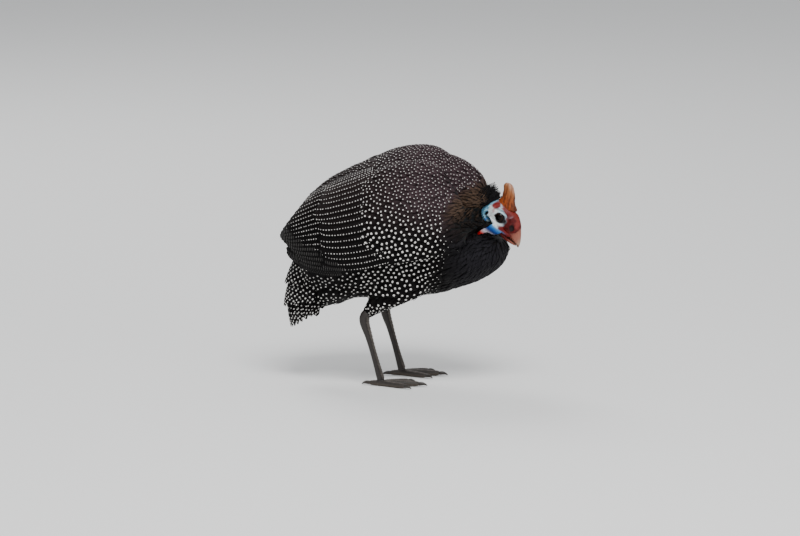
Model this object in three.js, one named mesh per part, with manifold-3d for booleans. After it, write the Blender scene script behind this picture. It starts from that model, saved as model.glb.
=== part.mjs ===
// A helmeted guineafowl at life size, standing hunched with its head drawn in and its tail hanging.
// Millimetres, +Z up. The bird faces +X, its left side is +Y, and its soles stand on Z = 0.
import * as THREE from "three";
import { mergeVertices } from "three/addons/utils/BufferGeometryUtils.js";
import Module from "manifold-3d";

const wasm = await Module();
wasm.setup();

// Driving dimensions
const GAP = 0.3; // between two nodes that touch
const CASQUE_GAP = 0.5; // round the horn, whose sides lean
const LEFT = 1;
const RIGHT = -1;
const SIDES = { left: LEFT, right: RIGHT };

// The body from the breast to the rump: X, top Z, bottom Z and half width of each upright slice
const TORSO_SLICES = [
  [139, 171, 171, 0],
  [129, 189, 148, 34],
  [105, 199, 130, 53],
  [80, 236, 120, 71],
  [50, 294, 112, 80],
  [2, 297, 106, 81],
  [-51, 271, 103, 75],
  [-95, 242, 106, 58],
  [-123, 212, 123, 33],
  [-133, 180, 180, 0],
];
const TORSO_WAIST = 0.47; // the widest level, as a share of a slice's height

// The surface that the folded wings follow: the body's, drawn out behind so that the tips stand clear
const WRAP_SLICES = [
  [142, 172, 172, 0],
  [132, 200, 147, 42],
  [102, 239, 127, 67],
  [56, 296, 112, 81],
  [0, 299, 104, 83],
  [-56, 273, 104, 77],
  [-104, 244, 117, 58],
  [-138, 212, 141, 36],
  [-156, 178, 178, 0],
];

// Neck: short and thick in its collar of feathers
const NECK_LINE = [
  [44, 0, 226],
  [64, 0, 228],
  [82, -3, 226.5],
  [96, -10, 222],
  [107, -17, 215.5],
];
const NECK_HALF_DEPTH = [67, 62, 50, 32, 21];
const NECK_HALF_WIDTH = [62, 58, 42, 24, 15];

// Head: its own frame has X along the bill, Z to the crown and its origin between the eyes
const HEAD_PLACE = [131, -20, 214.5];
const HEAD_PITCH = 38; // degrees nose down
const HEAD_YAW = 22; // degrees towards the bird's right
const SKULL_SLICES = [
  [21, 5, 5, 0],
  [18.5, 11.5, -10, 6.2],
  [12, 14.2, -15.6, 9.6],
  [2, 15.2, -17.2, 12.6],
  [-8, 15.4, -15.8, 13.8],
  [-17, 12, -12.4, 12.2],
  [-22.5, 7, -7.5, 8.2],
  [-24.5, 0, 0, 0],
];
// The bare upper neck, from inside the skull down to the collar of feathers
const BARE_NECK_LINE = [
  [-6, 0, 0],
  [-12.5, 0, -5],
  [-17.5, 0, -12],
];
const BARE_NECK_HALF_DEPTH = [14, 13.5, 11.5];
const BARE_NECK_HALF_WIDTH = [12.6, 12.2, 10.5];
// Cere: the red skin from the brow to the nostrils
const CERE_SLICES = [
  [29, -1, -1, 0],
  [27.5, 3.4, -8, 5.4],
  [23, 8.4, -11.4, 7.8],
  [17, 12.6, -12.4, 9.2],
  [11, 13.6, -13, 9.6],
  [8, 0, 0, 0],
];
const CERE_WAIST = 0.45;
const EYE = { x: 0, y: 8.3, z: 0.4, radius: 7.2, lid: 6.3, lidThick: 1.1 };
const EAR = { x: -17.2, z: -8.6, y: 11.4, long: 3.4, wide: 1.7, deep: 3 };
const NOSTRIL = { x: 20.5, z: -1, y: 8, long: 3.6, high: 2.2, deep: 2, rim: 3.7, rimThick: 1, tilt: 8 };
// Gape: a fold of red skin along the corner of the mouth
const GAPE_LINE = [
  [6, 8.8, -9],
  [13, 9, -11.5],
  [21, 7.6, -11.5],
  [26, 6, -9.5],
];
const GAPE_HALF_DEPTH = [1.6, 2.6, 2.4, 1.2];
const GAPE_HALF_WIDTH = [1.2, 1.7, 1.5, 1];
const UPPER_BILL_SLICES = [
  [12, -4, -4, 0],
  [14, 9.5, -13.4, 7.6],
  [19, 10.8, -14.6, 8],
  [25, 6, -15, 7],
  [30.5, 0.4, -15.4, 5.6],
  [35.5, -6.4, -16.2, 3.8],
  [38.6, -12, -17.6, 1.9],
  [39.8, -17.2, -17.2, 0],
];
const UPPER_BILL_WAIST = 0.35;
const LOWER_BILL_SLICES = [
  [6, -15, -15, 0],
  [8, -13.6, -19.4, 6.6],
  [15, -14.4, -21.2, 6.8],
  [23, -15.4, -21.2, 5.6],
  [30, -15.8, -20, 4],
  [34.4, -16.6, -18.6, 2],
  [36, -17.6, -17.6, 0],
];
const LOWER_BILL_WAIST = 0.7;
// Casque: a horn that leans back from the crown, flattened from side to side
const CASQUE_LINE = [
  [-3.2, 0, 9],
  [-5.5, 0, 13.5],
  [-8.5, 0, 21.5],
  [-13, 0, 29],
  [-18, 0, 34.5],
  [-20.5, 0, 37.5],
];
const CASQUE_HALF_DEPTH = [17, 13.5, 9.6, 8, 6.8, 4.4]; // fore and aft
const CASQUE_HALF_WIDTH = [8, 7.2, 5.6, 4.6, 3.9, 2.8];
// Wattle: hangs from the corner of the mouth, its blue bulb first, then a waist and its thin red tip
const WATTLE_LINE = [
  [11, 8.4, -8],
  [8, 11, -11.5],
  [3.5, 14, -16.5],
  [-1.5, 17.5, -21.5],
  [-4.5, 20, -27],
  [-7, 22, -32.5],
];
const WATTLE_HALF_DEPTH = [4, 6.6, 7, 3.2, 2.6, 1.4];
const WATTLE_HALF_WIDTH = [1.8, 2.8, 2.8, 1.9, 1.8, 1.1];

// Nape tuft: stiff black bristles along the back of the neck
const TUFT = { rows: 4, perRow: 5, length: 17, width: 3.2, thick: 1.2, seed: 7, from: 0.7, to: 0.985,
  spread: 38, leanBack: 34, leanFront: 62, bend: 2.4 };

// Legs
const HIP_Y = 40;
const KNEE = [14, 0, 150]; // inside the body
const HOCK_X = -34;
const HOCK_Z = 86;
const TOE_ROOT_X = -12;
const TOE_ROOT_Z = 7.4;
const FOOT_STAGGER = { left: 9, right: -9 }; // one foot a little ahead of the other
const THIGH_SHARES = [[0, 0], [0.3, 0.32], [0.58, 0.6], [0.85, 0.86]]; // of the way back and down
const THIGH_RADII = [40, 30, 19, 9.6, 7.2];
const THIGH_FLATNESS = 0.72; // its width as a share of its depth
const SHANK_SHARES = [0.12, 0.32, 0.6, 0.85, 1];
const SHANK_RADII = [6.6, 6.2, 4.4, 3.9, 4.4, 5.4];
const SHANK_FLATNESS = 0.86;
const SOLE_Z = 3.4; // a toe's axis above the floor
const TOES = [
  { name: "inner", turn: -31, length: 37, radius: 4.2 },
  { name: "middle", turn: 0, length: 48, radius: 4.6 },
  { name: "outer", turn: 31, length: 38, radius: 4.2 },
  { name: "hind", turn: 168, length: 15, radius: 3.6 },
];
const TOE_SHARES = [-0.08, 0.3, 0.65, 1];
const TOE_TAPER = [1.05, 0.95, 0.86, 0.66];
const CLAW = { length: 11, radius: 2.5, clear: 0.4 };

// Feather tiers of a folded wing. Roots and tips run from the lowest feather to the highest:
// X is along the body, and the angle goes round it, 0 at the back's ridge and 90 at its widest level.
// Each tier rises from its sunk roots to its free tips, over the roots of the tier behind it.
const WING_TIERS = [
  { count: 5, root: [-62, -66], rootAngle: [116, 98], tip: [-126, -143], tipAngle: [112, 95],
    lift: [0.6, 1.6], width: 20 }, // primaries
  { count: 8, root: [0, -34], rootAngle: [107, 36], tip: [-120, -116], tipAngle: [107, 26],
    lift: [1.2, 6.4], width: 26, bulge: 27 }, // secondaries
  { count: 7, root: [38, 6], rootAngle: [104, 36], tip: [-50, -60], tipAngle: [106, 34],
    lift: [3.2, 9.4], width: 25 }, // greater coverts
  { count: 6, root: [68, 36], rootAngle: [98, 42], tip: [4, -8], tipAngle: [102, 42],
    lift: [6, 11.6], width: 25 }, // median coverts
];
const WING_CORE = { front: 92, back: -78, top: 34, bottom: 110, inner: -6, outer: 6.5, droop: 8 };
const VANE_THICK = 0.8;
const VANE_STEP = 1.15; // from the middle of one vane to the middle of the next that it covers

// Tail: vanes in a roofed fan that hangs from the rump, bowed backwards
const TAIL_LINE = [
  [-108, 0, 176],
  [-126, 0, 150],
  [-138, 0, 120],
  [-143, 0, 92],
  [-139, 0, 67],
];
const TAIL_FEATHERS = { count: 14, rootHalf: 13, tipHalf: 43, rootRoof: 9, tipRoof: 40, width: 21,
  reach: 1, lift: 0 };
const TAIL_COVERTS = { count: 9, rootHalf: 12, tipHalf: 33, rootRoof: 8, tipRoof: 25, width: 20,
  reach: 0.58, lift: 5.6 };
const TAIL_CORE = [
  [-92, 0, 172],
  [-108, 0, 152],
  [-116, 0, 128],
  [-124, 0, 104],
];
const TAIL_CORE_HALF_DEPTH = [22, 17, 11, 5];
const TAIL_CORE_HALF_WIDTH = [24, 20, 15, 8];
const TAIL_END_CURVE = 0.16; // how much shorter the outermost feathers are

// Materials, from the photograph
const PLUMAGE = { color: 0x2a2523, roughness: 0.75 };
const FINISHES = {
  plumage: PLUMAGE,
  collar: { color: 0x3a322f, roughness: 0.85 },
  skin: { color: 0x8fc4dc, roughness: 0.55 },
  casque: { color: 0xa8693a, roughness: 0.5 },
  bill: { color: 0xb07a62, roughness: 0.4 },
  wattle: { color: 0x3f78b4, roughness: 0.5 },
  eye: { color: 0x160f0d, roughness: 0.08 },
  leg: { color: 0x3b3632, roughness: 0.6 },
  claw: { color: 0x2c2622, roughness: 0.45 },
};

// Small tools
const Y_AXIS = new THREE.Vector3(0, 1, 0);
const CASQUE_AXIS = new THREE.Vector3(-0.45, 0, 0.89).normalize(); // its slices lie across this
const radians = THREE.MathUtils.degToRad;
const mix = THREE.MathUtils.lerp;

// A smooth curve through rows of three numbers, read by its share from 0 to 1.
function curveOf(rows) {
  return new THREE.CatmullRomCurve3(rows.map((row) => new THREE.Vector3(...row)), false, "catmullrom", 0.5);
}

// A smooth run of single values, read by its share from 0 to 1.
function runOf(values) {
  const curve = curveOf(values.map((value) => [value, 0, 0]));
  return (share) => curve.getPoint(share).x;
}

// Repeatable draws from 0 to 1.
function drawFrom(seed) {
  let state = seed * 7919 + 13;
  return () => {
    state = (state * 16807) % 2147483647;
    return state / 2147483647;
  };
}

// A geometry's shared vertices are merged and its faces turned outwards, and it becomes a solid.
function solidOf(geometry) {
  geometry.deleteAttribute("normal");
  geometry.deleteAttribute("uv");
  const merged = mergeVertices(geometry, 1e-4);
  const position = merged.attributes.position.array;
  const triangles = new Uint32Array(merged.index.array);
  const kept = [];
  let volume = 0;
  const corner = [0, 1, 2].map(() => new THREE.Vector3());
  for (let i = 0; i < triangles.length; i += 3) {
    const [a, b, c] = triangles.subarray(i, i + 3);
    if (a === b || b === c || c === a) continue;
    kept.push(a, b, c);
    [a, b, c].forEach((vertex, k) => corner[k].fromArray(position, vertex * 3));
    volume += corner[0].dot(corner[1].cross(corner[2]));
  }
  if (volume < 0) {
    for (let i = 0; i < kept.length; i += 3) [kept[i + 1], kept[i + 2]] = [kept[i + 2], kept[i + 1]];
  }
  const triVerts = new Uint32Array(kept);
  return new wasm.Manifold(new wasm.Mesh({ numProp: 3, vertProperties: position, triVerts }));
}

// Of a solid in several pieces, the largest closed surface.
function largest(solid) {
  return solid.decompose().reduce((best, piece) => (piece.volume() > best.volume() ? piece : best));
}

function meshOf(name, solid, finish) {
  const { vertProperties, triVerts } = largest(solid).getMesh();
  const geometry = new THREE.BufferGeometry();
  geometry.setAttribute("position", new THREE.BufferAttribute(new Float32Array(vertProperties), 3));
  geometry.setIndex(new THREE.BufferAttribute(new Uint32Array(triVerts), 1));
  geometry.computeVertexNormals();
  const mesh = new THREE.Mesh(geometry, new THREE.MeshStandardMaterial(FINISHES[finish]));
  mesh.name = name;
  return mesh;
}

function unionOf(solids) {
  return wasm.Manifold.union(solids);
}

// A ball whose rings are moved onto a form: pointAt(share, angle) places each of its vertices.
function wrapped(pointAt, rings, sides) {
  const ball = new THREE.SphereGeometry(1, sides, rings);
  const position = ball.attributes.position;
  for (let ring = 0; ring <= rings; ring++) {
    for (let side = 0; side <= sides; side++) {
      const point = pointAt(ring / rings, ((side % sides) / sides) * 2 * Math.PI);
      position.setXYZ(ring * (sides + 1) + side, point.x, point.y, point.z);
    }
  }
  return solidOf(ball);
}

// A form told by upright slices. point() reads its surface, lifted outwards by so many millimetres.
class SlicedForm {
  constructor(slices, waist = 0.5) {
    this.outline = curveOf(slices.map(([x, top, bottom]) => [x, top, bottom]));
    this.halfWidth = runOf(slices.map((slice) => slice[3]));
    this.waist = waist;
  }

  // angle 0 is the top, and positive angles go down the left side.
  surface(share, angle) {
    const { x, y: top, z: bottom } = this.outline.getPoint(share);
    const middle = mix(bottom, top, this.waist);
    const reach = Math.cos(angle) > 0 ? top - middle : middle - bottom;
    const width = Math.max(this.halfWidth(share), 0);
    return new THREE.Vector3(x, Math.sin(angle) * width, middle + Math.cos(angle) * reach);
  }

  normal(share, angle) {
    const step = 0.002;
    const inside = THREE.MathUtils.clamp(share, 0.01, 0.99);
    const along = this.surface(inside + step, angle).sub(this.surface(inside - step, angle));
    const round = this.surface(inside, angle + step).sub(this.surface(inside, angle - step));
    const normal = round.cross(along).normalize();
    const outwards = this.surface(inside, angle).sub(this.surface(inside, angle + Math.PI));
    return normal.dot(outwards) < 0 ? normal.negate() : normal;
  }

  point(share, angle, lift = 0) {
    const atEnd = share < 1e-6 || share > 1 - 1e-6;
    if (!atEnd) return this.surface(share, angle).addScaledVector(this.normal(share, angle), lift);
    const ahead = this.surface(0, 0).x > this.surface(1, 0).x ? 1 : -1;
    const end = this.surface(share, 0);
    end.x += (share < 0.5 ? ahead : -ahead) * lift;
    return end;
  }

  // The share along the form at which its slice stands at this X.
  shareAt(x) {
    let low = 0;
    let high = 1;
    const falls = this.outline.getPoint(0).x > this.outline.getPoint(1).x;
    for (let i = 0; i < 30; i++) {
      const middle = (low + high) / 2;
      const ahead = this.outline.getPoint(middle).x > x;
      if (ahead === falls) low = middle;
      else high = middle;
    }
    return (low + high) / 2;
  }

  solid(rings, sides, lift = 0) {
    return wrapped((share, angle) => this.point(share, angle, lift), rings, sides);
  }
}

// A round-ended limb along a line of points, with its half depth and half width at shares of it.
function limb(line, halfDepth, halfWidth, rings, sides, across = Y_AXIS, lift = 0, axis = null) {
  const path = curveOf(line);
  const depthAt = runOf(halfDepth);
  const widthAt = runOf(halfWidth);
  const roundness = 7;
  const pointAt = (ringShare, angle) => {
    const share = (1 - Math.cos(Math.PI * ringShare)) / 2;
    const end = (1 - Math.abs(2 * share - 1) ** roundness) ** (1 / roundness);
    const tangent = axis ?? path.getTangent(THREE.MathUtils.clamp(share, 0.001, 0.999));
    const depthAxis = new THREE.Vector3().crossVectors(across, tangent).normalize();
    const widthAxis = new THREE.Vector3().crossVectors(tangent, depthAxis).normalize();
    return path
      .getPoint(share)
      .addScaledVector(tangent, lift * (2 * share - 1))
      .addScaledVector(depthAxis, Math.cos(angle) * end * (depthAt(share) + lift))
      .addScaledVector(widthAxis, Math.sin(angle) * end * (widthAt(share) + lift));
  };
  return wrapped(pointAt, rings, sides);
}

function ellipsoid(centre, halves) {
  const [cx, cy, cz] = centre;
  const [hx, hy, hz] = halves;
  const ball = new THREE.SphereGeometry(1, 10, 6).scale(hx, hy, hz).translate(cx, cy, cz);
  return solidOf(ball);
}

// A box from its lowest to its highest corner.
function block(low, high) {
  const size = high.map((value, i) => value - low[i]);
  const middle = high.map((value, i) => (value + low[i]) / 2);
  return solidOf(new THREE.BoxGeometry(...size).translate(...middle));
}

// A thin curved blade. placeAt(along, across) gives its middle surface and outward normal, with
// along from 0 at the root to 1 at the tip and across from -1 to 1. Both faces split alike.
function blade(placeAt, thick, alongSteps = 5, acrossSteps = 2) {
  const grid = new THREE.PlaneGeometry(1, 1, acrossSteps, alongSteps);
  const faces = Array.from(grid.index.array);
  const columns = acrossSteps + 1;
  const count = columns * (alongSteps + 1);
  const position = new Float32Array(count * 6);
  for (let row = 0; row <= alongSteps; row++) {
    for (let column = 0; column < columns; column++) {
      const { point, normal } = placeAt(row / alongSteps, (column / acrossSteps) * 2 - 1);
      const vertex = row * columns + column;
      point.clone().addScaledVector(normal, thick / 2).toArray(position, vertex * 3);
      point.clone().addScaledVector(normal, -thick / 2).toArray(position, (vertex + count) * 3);
    }
  }
  const index = [...faces];
  for (let i = 0; i < faces.length; i += 3) {
    index.push(faces[i] + count, faces[i + 2] + count, faces[i + 1] + count);
  }
  const rim = [];
  for (let column = 0; column < acrossSteps; column++) rim.push(column);
  for (let row = 0; row < alongSteps; row++) rim.push(row * columns + acrossSteps);
  for (let column = acrossSteps; column > 0; column--) rim.push(alongSteps * columns + column);
  for (let row = alongSteps; row > 0; row--) rim.push(row * columns);
  rim.forEach((from, i) => {
    const to = rim[(i + 1) % rim.length];
    index.push(from, to, to + count, from, to + count, from + count);
  });
  const geometry = new THREE.BufferGeometry();
  geometry.setAttribute("position", new THREE.BufferAttribute(position, 3));
  geometry.setIndex(index);
  return solidOf(geometry);
}

// A feather's outline: its half width as a share of the widest, narrow at the root and round at the tip.
function featherWidth(along) {
  const root = 0.5 + 0.5 * Math.min(along / 0.35, 1);
  const tip = Math.sqrt(Math.max(1 - Math.max((along - 0.55) / 0.45, 0) ** 2.6, 0));
  return root * Math.max(tip, 0.16);
}

// Body
const torsoForm = new SlicedForm(TORSO_SLICES, TORSO_WAIST);
const wrapForm = new SlicedForm(WRAP_SLICES, TORSO_WAIST);
const BODY_RINGS = 20;
const BODY_SIDES = 30;
const torso = torsoForm.solid(BODY_RINGS, BODY_SIDES);
const torsoRoom = torsoForm.solid(BODY_RINGS, BODY_SIDES, GAP);

// Neck with its nape tuft
function neckSolid(lift) {
  return limb(NECK_LINE, NECK_HALF_DEPTH, NECK_HALF_WIDTH, 13, 20, Y_AXIS, lift);
}

function napeTuft() {
  const draw = drawFrom(TUFT.seed);
  const path = curveOf(NECK_LINE);
  const radiusAt = runOf(NECK_HALF_DEPTH);
  const locks = [];
  for (let row = 0; row < TUFT.rows; row++) {
    for (let k = 0; k < TUFT.perRow; k++) {
      const forwards = row / (TUFT.rows - 1);
      const share = mix(TUFT.from, TUFT.to, forwards);
      const across = (k + (row % 2) / 2) / TUFT.perRow;
      const spread = radians(mix(-TUFT.spread, TUFT.spread, across) + 4 * (draw() - 0.5));
      const lean = radians(mix(TUFT.leanBack, TUFT.leanFront, forwards) + 12 * (draw() - 0.5));
      const length = TUFT.length * mix(0.75, 1.1, draw());
      const up = new THREE.Vector3(0, Math.sin(spread), Math.cos(spread));
      const root = path.getPoint(share).addScaledVector(up, radiusAt(share) * 0.8);
      const forward = path.getTangent(share);
      const rise = up.clone().multiplyScalar(Math.sin(lean)).addScaledVector(forward, Math.cos(lean));
      const side = new THREE.Vector3().crossVectors(rise, up).normalize();
      const face = new THREE.Vector3().crossVectors(side, rise).normalize();
      const placeAt = (along, half) => ({
        point: root
          .clone()
          .addScaledVector(rise, length * along)
          .addScaledVector(up, TUFT.bend * along * along)
          .addScaledVector(side, (half * TUFT.width * (1 - 0.86 * along)) / 2),
        normal: face,
      });
      locks.push(blade(placeAt, TUFT.thick, 3, 1));
    }
  }
  return locks;
}

const neckRoom = neckSolid(GAP);
const neck = unionOf([neckSolid(0), ...napeTuft()]).subtract(torsoRoom);

// Head and what it carries, in the head's own frame
const headGroup = new THREE.Group();
headGroup.position.set(...HEAD_PLACE);
headGroup.rotation.set(0, radians(HEAD_PITCH), radians(-HEAD_YAW), "ZYX");
headGroup.updateMatrix();
const bodyToHead = headGroup.matrix.clone().invert().elements;

const skullForm = new SlicedForm(SKULL_SLICES, 0.5);
const cere = new SlicedForm(CERE_SLICES, CERE_WAIST);
const upperBillForm = new SlicedForm(UPPER_BILL_SLICES, UPPER_BILL_WAIST);
const lowerBillForm = new SlicedForm(LOWER_BILL_SLICES, LOWER_BILL_WAIST);

function casqueSolid(lift) {
  return limb(CASQUE_LINE, CASQUE_HALF_DEPTH, CASQUE_HALF_WIDTH, 12, 16, Y_AXIS, lift, CASQUE_AXIS);
}

function wattleSolid(side, lift = 0) {
  const line = WATTLE_LINE.map(([x, y, z]) => [x, y * side, z]);
  return limb(line, WATTLE_HALF_DEPTH, WATTLE_HALF_WIDTH, 10, 10, Y_AXIS, lift);
}

function eyeball(side, radius) {
  const ball = new THREE.SphereGeometry(radius, 14, 10).translate(EYE.x, EYE.y * side, EYE.z);
  return solidOf(ball);
}

// A ring of bare skin round the eye, proud of the cheek.
function eyelids(side) {
  const ring = new THREE.TorusGeometry(EYE.lid, EYE.lidThick, 4, 13);
  ring.rotateX(Math.PI / 2);
  ring.translate(EYE.x, side * (EYE.y + Math.sqrt(EYE.radius ** 2 - EYE.lid ** 2) - 0.4), EYE.z);
  return solidOf(ring);
}

function nostril(side) {
  const { x, y, z, long, high, deep } = NOSTRIL;
  return ellipsoid([x, y * side, z], [long, deep, high]);
}

// A low rim round each nostril and a fold of red skin along the gape.
function cereFolds(side) {
  const rim = new THREE.TorusGeometry(NOSTRIL.rim, NOSTRIL.rimThick, 4, 9).scale(1.15, 0.8, 1);
  rim.rotateX(Math.PI / 2).rotateZ(radians(-NOSTRIL.tilt * side));
  rim.translate(NOSTRIL.x - 0.6, side * (NOSTRIL.y + 0.1), NOSTRIL.z);
  const line = GAPE_LINE.map(([x, y, z]) => [x, y * side, z]);
  return [solidOf(rim), limb(line, GAPE_HALF_DEPTH, GAPE_HALF_WIDTH, 6, 6)];
}

const bothSides = Object.values(SIDES);
const cheeks = unionOf([
  skullForm.solid(12, 16),
  limb(BARE_NECK_LINE, BARE_NECK_HALF_DEPTH, BARE_NECK_HALF_WIDTH, 8, 14),
  cere.solid(7, 12),
  ...bothSides.flatMap((side) => [eyelids(side), ...cereFolds(side)]),
]);
const earCups = bothSides.map((side) =>
  ellipsoid([EAR.x, EAR.y * side, EAR.z], [EAR.wide, EAR.deep, EAR.long]),
);
const sockets = bothSides.map((side) => eyeball(side, EYE.radius + GAP));
const nostrils = bothSides.map(nostril);
const casqueRoom = casqueSolid(CASQUE_GAP);
const wattleRooms = bothSides.map((side) => wattleSolid(side, GAP));
const billRooms = [upperBillForm.solid(12, 12, GAP), lowerBillForm.solid(10, 10, GAP)];
const head = cheeks
  .subtract(unionOf([casqueRoom, ...billRooms, ...sockets, ...wattleRooms, ...earCups, ...nostrils]))
  .subtract(neckSolid(GAP).transform(bodyToHead));
const upperBill = upperBillForm.solid(12, 12).subtract(unionOf([...nostrils, casqueRoom]));
const lowerBill = lowerBillForm.solid(10, 10).subtract(billRooms[0]);

const faceRoom = unionOf([...billRooms, ...wattleRooms]).transform(headGroup.matrix.elements);

headGroup.add(
  meshOf("head", head, "skin"),
  meshOf("casque", casqueSolid(0), "casque"),
  meshOf("upper_bill", upperBill, "bill"),
  meshOf("lower_bill", lowerBill.subtract(unionOf(wattleRooms)), "bill"),
);
for (const [name, side] of Object.entries(SIDES)) {
  headGroup.add(meshOf(`${name}_eye`, eyeball(side, EYE.radius), "eye"));
  const wattle = wattleSolid(side).subtract(billRooms[0]);
  headGroup.add(meshOf(`${name}_wattle`, wattle, "wattle"));
}

// Wings: a core over the arm and tiers of vanes that lie along the body like shingles
function wingPlace(side, x, angle, lift) {
  const share = wrapForm.shareAt(x);
  const round = side * radians(angle);
  return { point: wrapForm.point(share, round, lift), normal: wrapForm.normal(share, round) };
}

function wingCore(side) {
  const { front, back, top, bottom, inner, outer, droop } = WING_CORE;
  const middle = (top + bottom) / 2;
  const thick = (outer - inner) / 2;
  const pointAt = (ringShare, angle) => {
    const share = (1 - Math.cos(Math.PI * ringShare)) / 2;
    const end = Math.sin(Math.PI * ringShare) ** 0.55;
    const half = ((bottom - top) / 2) * end * mix(0.72, 1, share);
    const round = middle + half * Math.sin(angle) - droop * (1 - share);
    const lift = inner + thick + thick * Math.cos(angle) * end * mix(1, 0.35, share);
    return wingPlace(side, mix(front, back, share), round, lift).point;
  };
  return wrapped(pointAt, 12, 16);
}

function wingVanes(side, tier) {
  const vanes = [];
  for (let k = 0; k < tier.count; k++) {
    const share = k / (tier.count - 1);
    const rootX = mix(...tier.root, share);
    const tipX = mix(...tier.tip, share) - (tier.bulge ?? 0) * Math.sin(Math.PI * share) ** 1.5;
    const placeAt = (along, across) => {
      const x = mix(rootX, tipX, along);
      const spread = (across * tier.width * featherWidth(along)) / 2;
      const middleOf = (row) => mix(mix(...tier.rootAngle, row), mix(...tier.tipAngle, row), along);
      const girth = Math.max(wingPlace(side, x, middleOf(share), 0).point.y * side, 34);
      const pitch = radians(Math.abs(middleOf(0) - middleOf(1)) / (tier.count - 1)) * girth;
      const angle = middleOf(share) - THREE.MathUtils.radToDeg(spread / girth);
      const shingle = (spread * VANE_STEP) / pitch;
      return wingPlace(side, x, angle, mix(...tier.lift, along) - shingle);
    };
    vanes.push(blade(placeAt, VANE_THICK, 4));
  }
  return vanes;
}

function wingSolid(side) {
  const feathers = WING_TIERS.flatMap((tier) => wingVanes(side, tier));
  return unionOf([wingCore(side), ...feathers]).subtract(unionOf([torsoRoom, neckRoom]));
}

// Tail
const tailPath = curveOf(TAIL_LINE);

// A place on the tail's roof, so far from its ridge and so high above it.
function tailPlace(share, side, half, roof, lift) {
  const down = tailPath.getTangent(share);
  const back = new THREE.Vector3().crossVectors(down, Y_AXIS).normalize();
  if (back.x > 0) back.negate();
  const slope = (2 * roof * side) / (half * half);
  const normal = back.clone().addScaledVector(Y_AXIS, slope).normalize();
  const point = tailPath
    .getPoint(share)
    .addScaledVector(back, (-roof * side * side) / (half * half))
    .addScaledVector(Y_AXIS, side)
    .addScaledVector(normal, lift);
  return { point, normal };
}

function tailVanes({ count, rootHalf, tipHalf, rootRoof, tipRoof, width, reach, lift }) {
  const vanes = [];
  const ridge = (count - 1) >> 1;
  for (let k = 0; k < count; k++) {
    const spread = (k / (count - 1)) * 2 - 1;
    const under = VANE_STEP * Math.abs(k - ridge);
    const placeAt = (along, across) => {
      const half = mix(rootHalf, tipHalf, along);
      const lean = 1 / Math.hypot(1, (2 * mix(rootRoof, tipRoof, along) * spread) / half);
      const side = half * spread + (across * lean * width * featherWidth(along)) / 2;
      const share = along * reach * (1 - TAIL_END_CURVE * spread * spread);
      return tailPlace(share, side, half, mix(rootRoof, tipRoof, along), lift - under);
    };
    vanes.push(blade(placeAt, VANE_THICK, 4));
  }
  return vanes;
}

const tailCore = limb(TAIL_CORE, TAIL_CORE_HALF_DEPTH, TAIL_CORE_HALF_WIDTH, 10, 14);
const tail = unionOf([tailCore, ...tailVanes(TAIL_FEATHERS), ...tailVanes(TAIL_COVERTS)]).subtract(torsoRoom);

// Legs
function alongToe(side, toe, footX, share) {
  const turn = radians(toe.turn) * -side;
  const reach = toe.length * share;
  return [footX + Math.cos(turn) * reach, side * HIP_Y + Math.sin(turn) * reach, SOLE_Z];
}

function legParts(name, side) {
  const y = side * HIP_Y;
  const footX = TOE_ROOT_X + FOOT_STAGGER[name];
  const hockX = HOCK_X + FOOT_STAGGER[name];
  const thighLine = THIGH_SHARES.map(([back, down]) => [
    mix(KNEE[0], hockX, back),
    y,
    mix(KNEE[2], HOCK_Z, down),
  ]);
  thighLine.push([hockX, y, HOCK_Z + 2]);
  const thighRound = THIGH_RADII.map((r) => r * THIGH_FLATNESS);
  const thigh = limb(thighLine, THIGH_RADII, thighRound, 10, 12).subtract(torsoRoom);
  const shankLine = SHANK_SHARES.map((down) => [mix(hockX, footX, down), y, mix(HOCK_Z, TOE_ROOT_Z, down)]);
  shankLine.unshift([hockX - 1, y, HOCK_Z]);
  const shankRound = SHANK_RADII.map((r) => r * SHANK_FLATNESS);
  const shankRoom = limb(shankLine, SHANK_RADII, shankRound, 11, 10, Y_AXIS, GAP);
  const shank = limb(shankLine, SHANK_RADII, shankRound, 11, 10);
  const toes = TOES.map((toe) => {
    const line = TOE_SHARES.map((share) => alongToe(side, toe, footX, share));
    const radii = TOE_TAPER.map((share) => toe.radius * share);
    return limb(line, radii, radii, 8, 8, new THREE.Vector3(0, 0, 1));
  });
  const floor = block([-150, -150, -30], [150, 150, 0]);
  const foot = unionOf(toes).subtract(unionOf([floor, shankRoom]));
  return { thigh: thigh.subtract(shankRoom), shank, foot, footX };
}

// One claw points along +X from its root, bent down to the floor at its tip.
function clawSolid() {
  const { length, radius } = CLAW;
  return limb(
    [[0, 0, 0], [length * 0.4, 0, 0.3], [length * 0.75, 0, -0.5], [length, 0, -2.2]],
    [radius, radius * 0.9, radius * 0.55, 0.5], [radius * 0.8, radius * 0.7, radius * 0.42, 0.4], 6, 6,
  );
}

const bird = new THREE.Group();
bird.add(meshOf("torso", torso.subtract(faceRoom), "plumage"));
bird.add(meshOf("neck", neck, "collar"));
bird.add(headGroup);
bird.add(meshOf("tail", tail, "plumage"));
for (const [name, side] of Object.entries(SIDES)) {
  bird.add(meshOf(`${name}_wing`, wingSolid(side), "plumage"));
  const { thigh, shank, foot, footX } = legParts(name, side);
  bird.add(meshOf(`${name}_thigh`, thigh, "plumage"));
  bird.add(meshOf(`${name}_shank`, shank, "leg"));
  bird.add(meshOf(`${name}_foot`, foot, "leg"));
  for (const toe of TOES) {
    const claw = meshOf(`${name}_${toe.name}_claw`, clawSolid(), "claw");
    const [x, y] = alongToe(side, toe, footX, 1);
    const turn = radians(toe.turn) * -side;
    claw.position.set(x + Math.cos(turn) * CLAW.clear, y + Math.sin(turn) * CLAW.clear, SOLE_Z);
    claw.rotation.z = turn;
    bird.add(claw);
  }
}

export default bird;
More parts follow.
